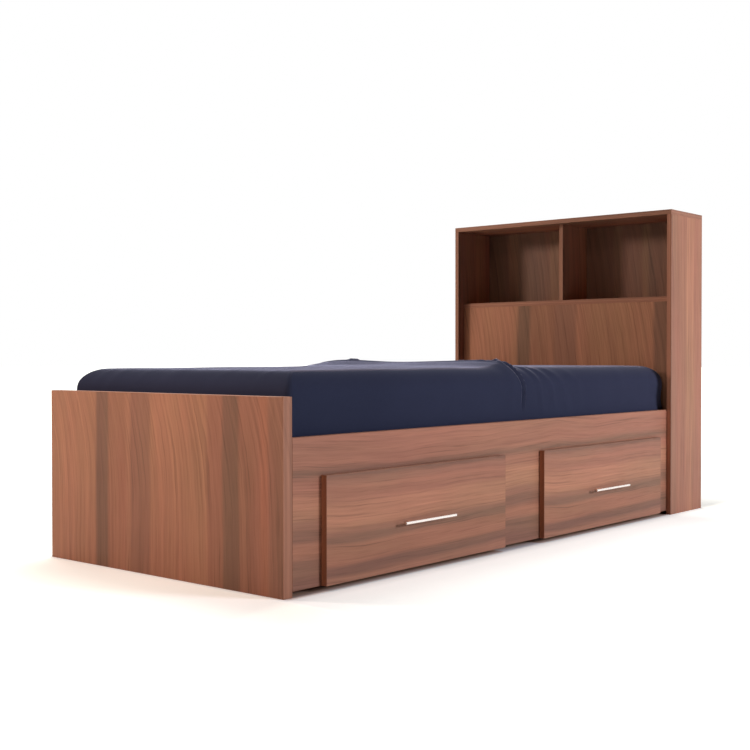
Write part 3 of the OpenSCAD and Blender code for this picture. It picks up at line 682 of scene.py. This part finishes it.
def profile(look, side_n, edge_n, top_step, out):
    """Insets and heights from the hem to the middle: a drawn-in side, a quarter ellipse and the flat top.

    Side: inset = waist sin^2(pi u) + 8 mm (1 - (z - low) / 22 mm)^2 near its lower end. Edge: inset =
    in (1 - cos q) and height = h - down (1 - sin q).
    """
    u = np.linspace(0, 1, side_n)
    edge_z = MATTRESS_H - look.edge_down
    z = SIDE_LOW + u * (edge_z - SIDE_LOW)
    drawn = look.waist * np.sin(math.pi * u) ** 2 + 0.008 * np.clip(1 - (z - SIDE_LOW) / 0.022, 0, 1) ** 2
    q = np.linspace(0, math.pi / 2, edge_n + 1)[1:]
    bend, rise = 1 - np.cos(q), look.edge_down * (1 - np.sin(q))
    last = MATTRESS_W / 2 + out
    steps = np.linspace(look.side_in, last, max(3, int(round((last - look.side_in) / top_step))) + 1)[1:]
    end = look.end_in + (steps - look.side_in)
    side_in = np.concatenate([drawn, look.side_in * bend, steps])
    end_in = np.concatenate([drawn, look.end_in * bend, end])
    height = np.concatenate([z, MATTRESS_H - rise, np.full_like(steps, MATTRESS_H)])
    weight = np.concatenate([np.zeros_like(z), (q / (math.pi / 2)) ** 1.6, np.ones_like(steps)])
    return side_in, end_in, height + out * weight, weight


def walked(path):
    """Distance along a path of points, 0 at its first."""
    steps = np.linalg.norm(np.diff(path, axis=0), axis=1)
    return np.concatenate([[0], np.cumsum(steps)])


def unit(vectors):
    """The vectors, each made 1 long."""
    return vectors / np.maximum(np.linalg.norm(vectors, axis=-1, keepdims=True), 1e-12)


def crown(look, points):
    """Rise of the top, crown (1 - (2 x / width)^2) (1 - (2 y / length)^2)."""
    return look.crown * np.prod(1 - (2 * points[..., :2] / (MATTRESS_W, MATTRESS_L)) ** 2, axis=-1)


def normals(points):
    """Unit normals of a grid of points whose columns close into a loop: along the columns x down the rows."""
    along = np.roll(points, -1, 1) - np.roll(points, 1, 1)
    return unit(np.cross(along, np.gradient(points, axis=0)))


def crease(spot, path, width, height, valley=0.0, ends=0.06):
    """A ridge along a line of places: height exp(-(d / width)^2), a valley beside it and tapering ends.

    The line, the width and the height are in millimetres, and all else is in metres.
    """
    path, width, height = np.array(path) * MM, width * MM, height * MM
    best = np.full(spot.shape[:-1], 1e9)
    side = np.zeros_like(best)
    along = np.zeros_like(best)
    total = walked(path)
    for start, end, before, long in zip(path, path[1:], total, np.diff(total)):
        d = (end - start) / long
        reach = np.clip((spot - start) @ d, 0, long)
        off = spot - (start + reach[..., None] * d)
        gap = np.linalg.norm(off, axis=-1)
        closer = gap < best
        best = np.where(closer, gap, best)
        side = np.where(closer, off @ np.array([-d[1], d[0]]), side)
        along = np.where(closer, before + reach, along)
    taper = np.clip(along / ends, 0, 1) * np.clip((total[-1] - along) / ends, 0, 1)
    taper = taper * taper * (3 - 2 * taper)
    ridge = np.exp(-((best / width) ** 2)) - valley * np.exp(-(((side - 1.7 * width) / width) ** 2))
    return height * taper * ridge


# Folds of the sheet in millimetres: side of the bed, places (distance from the foot, distance out and down
# from where the top starts to round), width, height and the valley beside it
SHEET_FOLDS = [
    (1, [(1042, -90), (1044, -30), (1050, 10), (1062, 45), (1073, 90), (1078, 130), (1078, 190)],
     4.6, 7.0, 0.9),
    (1, [(1100, -60), (1118, 0), (1150, 60), (1178, 130), (1196, 210)], 13, 2.0, 0.5),
    (1, [(1150, -10), (1190, 40), (1240, 100), (1272, 200)], 14, 2.0, 0.5),
    (1, [(1215, 0), (1275, 60), (1330, 130), (1352, 215)], 18, 2.0, 0.4),
    (1, [(1330, 30), (1400, 90), (1440, 200)], 22, 1.8, 0.3),
    (1, [(1010, -30), (1018, 40), (1008, 110), (1002, 200)], 24, 1.3, 0.3),
    (1, [(700, 20), (706, 90), (700, 210)], 34, 1.0, 0.2),
    (1, [(330, 20), (322, 90), (326, 210)], 40, 0.9, 0.2),
    (1, [(1700, 10), (1712, 80), (1716, 210)], 36, 1.0, 0.2),
    (-1, [(1150, -80), (1158, -20), (1164, 50), (1150, 120), (1132, 200)], 6, 5.0, 0.5),
    (-1, [(1120, -40), (1096, 20), (1060, 90), (1040, 200)], 20, 2.2, 0.3),
    (-1, [(1190, -20), (1230, 50), (1268, 120), (1280, 210)], 24, 2.0, 0.3),
    (-1, [(600, 20), (610, 90), (604, 210)], 34, 1.0, 0.2),
    (-1, [(1650, 20), (1640, 90), (1646, 210)], 34, 1.0, 0.2),
]
# Short wrinkles on the top in millimetres: ends (across, distance from the foot), width and height
TOP_WRINKLES = [
    ((400, 1075), (300, 1095), 6, 3.2), ((372, 1112), (330, 1150), 7, 2.4),
    ((410, 1120), (392, 1180), 8, 2.0), ((340, 1060), (300, 1010), 9, 1.8),
    ((300, 1075), (180, 1100), 8, 2.0), ((-300, 1118), (-390, 1126), 6, 3.4),
    ((-250, 1112), (-310, 1104), 6, 2.6), ((-350, 1140), (-330, 1190), 8, 2.0),
    ((-380, 1100), (-420, 1050), 9, 1.8), ((-150, 1105), (-40, 1112), 9, 1.2),
    ((345, 1046), (396, 1032), 6, 8.0), ((398, 1044), (420, 1056), 5, 6.0),
    ((-280, 1040), (-212, 1042), 6, 7.0),
]
# Drag folds of the foot end in millimetres: places (across, distance out and down), width and height
FOOT_FOLDS = [
    ([(-310, -30), (-335, 40), (-366, 120)], 15, 0.7), ([(-235, -50), (-262, 40), (-300, 130)], 20, 0.9),
    ([(-120, -20), (-150, 40), (-190, 130)], 16, 0.5), ([(30, -50), (-20, 40), (-78, 130)], 26, 0.8),
    ([(215, -50), (180, 40), (130, 130)], 20, 0.6), ([(352, -30), (338, 40), (312, 120)], 14, 0.7),
]


def fold_height(look, place, x, y):
    """The fold across the sheet: its crest times exp(-((y - place) / width)^2), pinched thin on top."""
    across = np.minimum(1, np.abs(2 * x / MATTRESS_W))
    crest = look.fold_h - look.fold_dip * np.cos(np.minimum(1, across * 1.25) * math.pi / 2) ** 2
    along = y - place + 0.004 * np.sin(x * 23.0)
    width = np.where(along < 0, look.fold_w, look.fold_w * 0.72)
    body = 0.80 * np.exp(-((along / width) ** 2)) + 0.20 * np.exp(-((along / 0.011) ** 2))
    return crest * body * (1 - across**8)


def sheet_points(look):
    """The sheet's rows of points from its hem to its middle, in the frame, with its map along the cloth."""
    place = look.fold_from_foot - MATTRESS_L / 2
    plan = ring_plan(look.corner, step=0.0095, corner_n=26, fine_step=0.0042, fine_at=place, fine_reach=0.24)
    side_in, end_in, z, weight = profile(look, side_n=22, edge_n=16, top_step=0.008, out=SHEET_OUT)
    points = rings(plan, side_in, end_in, z, SHEET_OUT, look.corner)
    x, y = points[..., 0], points[..., 1]
    lift = crown(look, points) + fold_height(look, place, x, y)
    foot_y = y + MATTRESS_L / 2
    spot = np.stack([x, foot_y], 2)
    for start, end, width, height in TOP_WRINKLES:
        lift += crease(spot, [start, end], width, height, ends=0.02)
    lift += 0.0006 * np.sin(x * 21.0 + 1.1 * np.sin(y * 5.0)) * np.sin(y * 17.0 + 0.7)
    points[..., 2] += weight[:, None] * lift
    top_row = int(np.argmax(weight >= 1.0))
    down = walked(np.stack([side_in, z], 1))
    down = np.broadcast_to((down[top_row] - down)[:, None], y.shape)
    spot = np.stack([foot_y, down], 2)
    flank = np.abs(plan[3]) < 0.5
    fill = np.clip((y - MATTRESS_L / 2 + 0.10) / 0.10, 0, 1) * np.clip(down / 0.10, 0, 1) ** 2
    push = 0.005 * fill * np.clip(plan[2], 0, 1)
    for side, path, width, height, valley in SHEET_FOLDS:
        held = (np.sign(plan[0]) == side) & flank
        push += held * crease(spot, path, width, height, valley)
    spot = np.stack([x, down], 2)
    held = plan[3] < -0.5
    for path, width, height in FOOT_FOLDS:
        push += held * crease(spot, path, width, height, 0.3)
    side_row = 12
    walk = np.broadcast_to(walked(points[side_row]), x.shape)
    low = np.clip(down / 0.19, 0, 1)
    push += 0.0011 * low**2 * np.sin(walk * 9.0 + 1.3 * np.sin(walk * 3.1)) * np.sin(walk * 2.3 + 0.5)
    turned = np.clip(np.abs(plan[2] * plan[3]) * 2, 0, 1)
    push += 0.0012 * low**3 * turned * np.sin(walk * 2 * math.pi / 0.016)
    seam = np.exp(-(((np.abs(plan[2]) - np.abs(plan[3])) / 0.045) ** 2)) * (turned > 0.5)
    push -= 0.0009 * seam * np.clip(down / 0.05, 0, 1)
    points = points + normals(points) * push[..., None] + BEDDING_AT
    return points, np.stack([walk, down], 2)


def tube_mesh(name, path, radius, sides=10):
    """A closed cord: circles of the given radius round each point of a closed path."""
    ahead = unit(np.roll(path, -1, 0) - np.roll(path, 1, 0))
    out = unit(np.cross(ahead, [0.0, 0.0, 1.0]))
    up = np.cross(out, ahead)
    turn = np.linspace(0, 2 * math.pi, sides + 1)[:, None, None]
    points = path[None] + radius * (np.cos(turn) * out[None] + np.sin(turn) * up[None])
    uv = np.stack(np.broadcast_arrays(walked(path)[None, :], turn[..., 0] * radius), 2)
    piece = grid_mesh(name, points, uv=uv)
    merge_doubles(piece)
    return piece


class BED_OT_stage(bpy.types.Operator):
    """Sets up the floor, the even light of the room, four soft lamps and the camera"""

    bl_idname = "bed.stage"
    bl_label = "Stage"

    def execute(self, context):
        look = context.scene.bed_stage
        camera = bpy.data.objects.new("camera", bpy.data.cameras.new("camera"))
        context.scene.collection.objects.link(camera)
        camera.location, camera.rotation_euler = look.eye, look.turn
        camera.data.lens, camera.data.sensor_width = look.lens, 36.0
        camera.data.clip_end = 200.0
        context.scene.camera = camera
        context.scene.view_settings.view_transform = "Standard"
        reach = np.array([-60.0, 60.0])
        corners = np.stack([*np.meshgrid(reach, reach), np.zeros((2, 2))], 2)
        floor = grid_mesh("floor", corners, closed_u=False)
        wear(floor, self.floor_finish(look))
        self.room(context, look)
        bed = (0.0, 0.0, 0.4)
        self.lamp("left_lamp", (-3.9, -3.3, 2.4), bed, 0.8, look.key, look.key_tint)
        self.lamp("side_lamp", (6.0, 1.9, 2.0), bed, 1.6, look.side, look.side_tint)
        self.lamp("ceiling_lamp", (-2.0, 0.6, 4.0), bed, 3.0, look.top, look.top_tint)
        spot = self.lamp("foot_lamp", (0.4, -3.4, 2.6), (0.1, -1.16, 0.7), 1.0, look.foot, look.foot_tint)
        spot.data.spread = 0.8
        return {"FINISHED"}

    def floor_finish(self, look):
        """Matt floor that the camera and reflections see whiter than it is lit, away from the bed's shadow."""
        m = Finish("floor")
        left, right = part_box("side_rail_left")[0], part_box("side_rail_right")[1]
        beside = (m.x - (left.x + right.x) / 2).size() - (right.x - left.x) / 2
        beyond = (m.y - (CAD_BOX[0].y + CAD_BOX[1].y) / 2).size() - (CAD_BOX[1].y - CAD_BOX[0].y) / 2
        away, edge = beside.high(beyond), beside.high(beyond + 0.022)
        near_front, far_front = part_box("foot_drawer_front")[1].y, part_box("head_drawer_front")[0].y
        between = m.y.ramp(near_front, near_front + 0.01) * m.y.ramp(far_front, far_front - 0.01)
        # Painted shade: under the rails and just beside them the floor turns darker and warmer, for the shade
        # beneath the bed.
        open_to = (edge + between * 0.024).ramp(-0.020, 0.022)
        shaded_ground = m.shade(m.mix(open_to, look.floor_painted_shade, look.floor), open_to * 0.52 + 0.48)
        matt = m.node("ShaderNodeBsdfDiffuse", {"Color": shaded_ground})
        # The lift: from the bed's outline outwards, with more before the foot, by the head and behind it
        rise = beside.ramp(0, 0.022).high(beyond.ramp(-0.004, 0.012)) + away.ramp(0, 0.5) * 0.25
        rise = rise + beside.ramp(0, 0.075).high(beyond.ramp(0.03, 0.30))
        rise = rise + beyond.ramp(0, 0.012) * beyond.ramp(0.13, 0.04) * 0.5
        rise = rise + m.y.ramp(-0.9, 0.5) * beside.ramp(0, 0.05) * 0.45
        rise = rise + m.y.ramp(CAD_BOX[1].y - 0.30, CAD_BOX[1].y - 0.15) * beside.ramp(0, 0.04)
        far = away.ramp(0.6, 3.1)
        # Painted light: the lift takes a warmer colour near the bed's ends, for warm light thrown back by the
        # wood.
        cream = beyond.ramp(0, 0.03) * away.ramp(0.60, 0.15)
        warm = m.mix(cream, (0.98, 0.99, 0.92), look.floor_near)
        strength = m.seen_by("Camera", "Glossy") * (rise * look.floor_lift + far * far * 0.8)
        lift = m.node("ShaderNodeEmission", {"Color": warm, "Strength": strength})
        return m.end(m.node("ShaderNodeAddShader", [matt, lift]))

    def room(self, context, look):
        """World: the room's light for the object, plain white for the camera and for reflections."""
        context.scene.world = bpy.data.worlds.new("room")
        m = Finish(context.scene.world)
        strength = m.seen_by("Camera", "Transmission", "Glossy") * (1.0 - look.sky) + look.sky
        m.end(m.node("ShaderNodeBackground", {"Color": WHITE, "Strength": strength}), "World")

    def lamp(self, name, place, aim, size, power, colour):
        """A soft square lamp that looks at a place."""
        data = bpy.data.lights.new(name, "AREA")
        data.size, data.energy, data.color = size, power, colour
        made = bpy.data.objects.new(name, data)
        bpy.context.scene.collection.objects.link(made)
        made.location = place
        made.rotation_euler = (Vector(aim) - Vector(place)).to_track_quat("-Z", "Y").to_euler()
        return made


class BED_OT_boards(bpy.types.Operator):
    """Finishes the laminated boards of the bed and its drawers"""

    bl_idname = "bed.boards"
    bl_label = "Laminated boards"

    def execute(self, context):
        boards = {
            "footboard": ("-z", "x", FOOTBOARD_PRINT, "red"),
            **{f"side_rail_{side}": ("y", "-z", RAIL_PRINT_AND_SHADE, "red") for side in ("right", "left")},
            "headboard_side_left": ("-z", "y", SIDE_PRINT, "dusky"),
            "headboard_side_right": ("-z", "y", SIDE_PRINT, "painted_lit_edge"),
            "headboard_top": ("x", "y", SIDE_PRINT, "dusky"),
            "headboard_shelf": ("x", "y", SIDE_PRINT, "glow"),
            "headboard_divider": ("-z", "y", SIDE_PRINT, "pale"),
            "headboard_front_panel": ("-z", "x", PANEL_PRINT, "middle"),
            "headboard_back_panel": ("-z", "x", BACK_PRINT, "middle"),
            "headboard_base_board": ("x", "y", SIDE_PRINT, "middle"),
            "centre_panel": ("y", "-z", RAIL_PRINT_AND_SHADE, "middle"),
            **{f"{end}_drawer_front": ("y", "-z", FRONT_PRINT, "shaded") for end in ("foot", "head")},
            **{f"partition_{i}": ("x", "-z", RAIL_PRINT_AND_SHADE, "middle") for i in range(1, 5)},
        }
        # The back panel's darker tone is painted shade for the cubbies; the front panel's tone only shifts its
        # colour.
        tones_and_cubby_shade = {"headboard_back_panel": (0.67, 0.77, 0.78), "headboard_front_panel": (0.98, 0.95, 0.90)}
        wide_print = {"lean": 0.055, "soft": 0.006, "sway": 0.02, "wobble": 0.007}
        narrow_print = {"lean": 0.012, "soft": 0.024, "sway": 0.045, "wobble": 0.003}
        for number, (name, (grain, across, pattern, edge)) in enumerate(boards.items()):
            figure = {
                **(wide_print if across == "x" else narrow_print),
                "seed": 0.0 if name.endswith("drawer_front") else number * 1.7,
                "bow_l": 0.32 if name == "footboard" else 0.45,
                "painted_low_shade": 0.30 if name == "footboard" else 0.0,
                "tone": tones_and_cubby_shade.get(name, WHITE),
            }
            wear(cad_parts[name], laminate(name, grain, across, pattern, edge, **figure))
        return {"FINISHED"}


class BED_OT_inside(bpy.types.Operator):
    """Finishes the slats, ledges and drawer boxes"""

    bl_idname = "bed.inside"
    bl_label = "Slats and drawer boxes"

    def execute(self, context):
        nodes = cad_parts
        plank, liner = pine(), drawer_board()
        for name, node in nodes.items():
            if name.startswith("slat_"):
                wear(node, plank)
            elif "_drawer_" in name and name.endswith(("side_left", "side_right", "back", "bottom")):
                wear(node, liner)
        return {"FINISHED"}


class BED_OT_metal(bpy.types.Operator):
    """Finishes the handles, runners, screws and cam fittings"""

    bl_idname = "bed.metal"
    bl_label = "Metal parts"

    def execute(self, context):
        steel, bright = zinc_steel(), chrome()
        for name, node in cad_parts.items():
            if name.endswith("_handle"):
                wear(node, bright)
            elif "runner" in name or "screws" in name or name.startswith("cam_"):
                wear(node, steel)
        return {"FINISHED"}


class BED_OT_mattress(bpy.types.Operator):
    """Makes the mattress as a crowned, padded form with corded edges"""

    bl_idname = "bed.mattress"
    bl_label = "Mattress"

    def execute(self, context):
        look = context.scene.bed_bedding
        plan = ring_plan(look.corner, step=0.024, corner_n=8)
        side_in, end_in, z, weight = profile(look, side_n=8, edge_n=6, top_step=0.028, out=-PAD_IN)
        # Insets of the underside's rings, from its middle outwards
        under = np.array([MATTRESS_W / 2 - PAD_IN, 0.30, 0.15, 0.06, 0.028, 0.012])
        side_in, end_in = np.concatenate([under, side_in[1:]]), np.concatenate([under, end_in[1:]])
        z = np.concatenate([np.zeros(5), [0.008], z[1:]])
        weight = np.concatenate([np.zeros(6), weight[1:]])
        points = rings(plan, side_in, end_in, z, -PAD_IN, look.corner)
        points[..., 2] += weight[:, None] * crown(look, points)
        points += BEDDING_AT
        pad = grid_mesh("mattress_pad", points)
        merge_doubles(pad)
        self.swell(context, pad)
        rounder = pad.modifiers.new("rounder", "SUBSURF")
        rounder.levels = rounder.render_levels = 1
        fit(pad, ticking_cloth())
        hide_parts("mattress")
        tape = piping_cloth()
        fine = ring_plan(look.corner, step=0.02, corner_n=14)
        for name, height, inset in (("piping_upper", 0.122, 0.0065), ("piping_lower", 0.014, 0.010)):
            loop = rings(fine, np.array([inset]), np.array([inset]), np.array([height]), 0.0, look.corner)[0]
            cord = tube_mesh(name, loop + BEDDING_AT, PIPING_R)
            fit(cord, tape)
        return {"FINISHED"}

    def swell(self, context, pad, limit=0.005, frames=20):
        """Blows the form up as stuffed cloth, and keeps each point within the limit of where it started."""
        before = np.zeros(len(pad.data.vertices) * 3, np.float32)
        pad.data.vertices.foreach_get("co", before)
        cloth = pad.modifiers.new("cloth", "CLOTH")
        cloth.settings.quality = 4
        cloth.settings.mass = 0.4
        cloth.settings.tension_stiffness = cloth.settings.compression_stiffness = 25
        cloth.settings.bending_stiffness = 2
        cloth.settings.use_pressure = True
        cloth.settings.uniform_pressure_force = 4.0
        cloth.settings.effector_weights.gravity = 0.0
        cloth.collision_settings.use_collision = False
        cloth.point_cache.frame_start, cloth.point_cache.frame_end = 1, frames
        for number in range(1, frames + 1):
            context.scene.frame_set(number)
        graph = context.evaluated_depsgraph_get()
        after = np.zeros_like(before)
        pad.evaluated_get(graph).data.vertices.foreach_get("co", after)
        pad.modifiers.remove(cloth)
        context.scene.frame_set(1)
        move = (after - before).reshape(-1, 3)
        size = np.linalg.norm(move, axis=1, keepdims=True)
        move *= np.minimum(1.0, limit / np.maximum(size, 1e-9))
        start = before.reshape(-1, 3)
        fixed = start[:, 2] < MATTRESS_LOW.z + 0.009
        move[fixed, 2] = 0.0
        pad.data.vertices.foreach_set("co", (start + move).astype(np.float32).ravel())
        pad.data.update()


class BED_OT_sheet(bpy.types.Operator):
    """Makes the fitted sheet with its folds, corner seams and elastic hem"""

    bl_idname = "bed.sheet"
    bl_label = "Fitted sheet"

    def execute(self, context):
        look = context.scene.bed_bedding
        points, uv = sheet_points(look)
        sheet = grid_mesh("sheet_cover", points, uv=uv)
        cloth = sheet_cloth()
        fit(sheet, cloth)
        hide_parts("fitted_sheet")
        hem = tube_mesh("sheet_hem", points[0] + np.array([0.0, 0.0, 0.0012]), HEM_R, sides=8)
        fit(hem, cloth)
        return {"FINISHED"}


class BED_OT_caps(bpy.types.Operator):
    """Covers the cam locks that can be seen with thin caps in the laminate's print"""

    bl_idname = "bed.caps"
    bl_label = "Cam covers"

    def execute(self, context):
        shelf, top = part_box("headboard_shelf"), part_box("headboard_top")
        left, right, back = (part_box("headboard_" + end) for end in ("side_left", "side_right", "back_panel"))
        deep = shelf[1].y - shelf[0].y
        rows = [shelf[0].y + deep * part for part in (0.3, 0.75)]
        under_top = top[0].z - CAM_BACK
        heights = [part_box("headboard_base_board")[0].z + CAM_IN, shelf[0].z - 2 * CAM_IN, top[0].z - CAM_IN]
        sides = [back[0].x + CAM_BACK, back[1].x - CAM_BACK]
        places = {
            "headboard_side_left": ((1.0, 0.0), [(left[1].x, y, under_top) for y in rows]),
            "headboard_side_right": ((-1.0, 0.0), [(right[0].x, y, under_top) for y in rows]),
            "headboard_back_panel": ((0.0, 1.0), [(x, back[1].y, z) for x in sides for z in heights]),
        }
        for board, (out, spots) in places.items():
            self.cover(board, np.array([*out, 0.0]), np.array(spots))
        return {"FINISHED"}

    def cover(self, board, out, spots):
        """Shallow domes on a board: rings of radius r sin(q), raised by rise cos(q), one at each place."""
        q = np.array([math.pi / 2, 1.45, 1.2, 0.7, 0.0])
        turn = np.linspace(0, 2 * math.pi, CAP_SIDES, endpoint=False)
        along = np.cross(out, [0.0, 0.0, 1.0])
        up = np.cross(out, along)
        disc = np.cos(turn)[:, None] * along + np.sin(turn)[:, None] * up
        radius = np.concatenate([[0.0], CAP_R * np.sin(q)])
        rise = np.concatenate([[0.0], CAP_RISE * np.cos(q)])
        dome = radius[:, None, None] * disc + rise[:, None, None] * out
        points = (dome[None] + spots[:, None, None]).reshape(-1, CAP_SIDES, 3)
        made = grid_mesh("cam_covers_" + board, points, stack=len(radius))
        merge_doubles(made)
        fit(made, bpy.data.materials["laminate_" + board])


OPERATORS = [
    BED_OT_stage, BED_OT_boards, BED_OT_inside, BED_OT_metal, BED_OT_mattress, BED_OT_sheet, BED_OT_caps,
]


class BED_PT_panel(bpy.types.Panel):
    """Lists the bed's pieces"""

    bl_label = "Bed"
    bl_idname = "BED_PT_panel"
    bl_space_type = "VIEW_3D"
    bl_region_type = "UI"
    bl_category = "Bed"

    def draw(self, context):
        for operator in OPERATORS:
            self.layout.operator(operator.bl_idname)


GROUPS = {
    "bed_laminate": LaminateLook, "bed_metal": MetalLook, "bed_inside": InsideLook,
    "bed_bedding": BeddingLook, "bed_stage": StageLook,
}
CLASSES = [*GROUPS.values(), *OPERATORS, BED_PT_panel]


def register():
    for made in CLASSES:
        bpy.utils.register_class(made)
    for name, group in GROUPS.items():
        setattr(bpy.types.Scene, name, bpy.props.PointerProperty(type=group))


def unregister():
    for name in GROUPS:
        delattr(bpy.types.Scene, name)
    for made in reversed(CLASSES):
        bpy.utils.unregister_class(made)


def main():
    """Dresses the frame."""
    register()
    for operator in OPERATORS:
        area, name = operator.bl_idname.split(".")
        getattr(getattr(bpy.ops, area), name)()


if __name__ == "__main__":
    main()
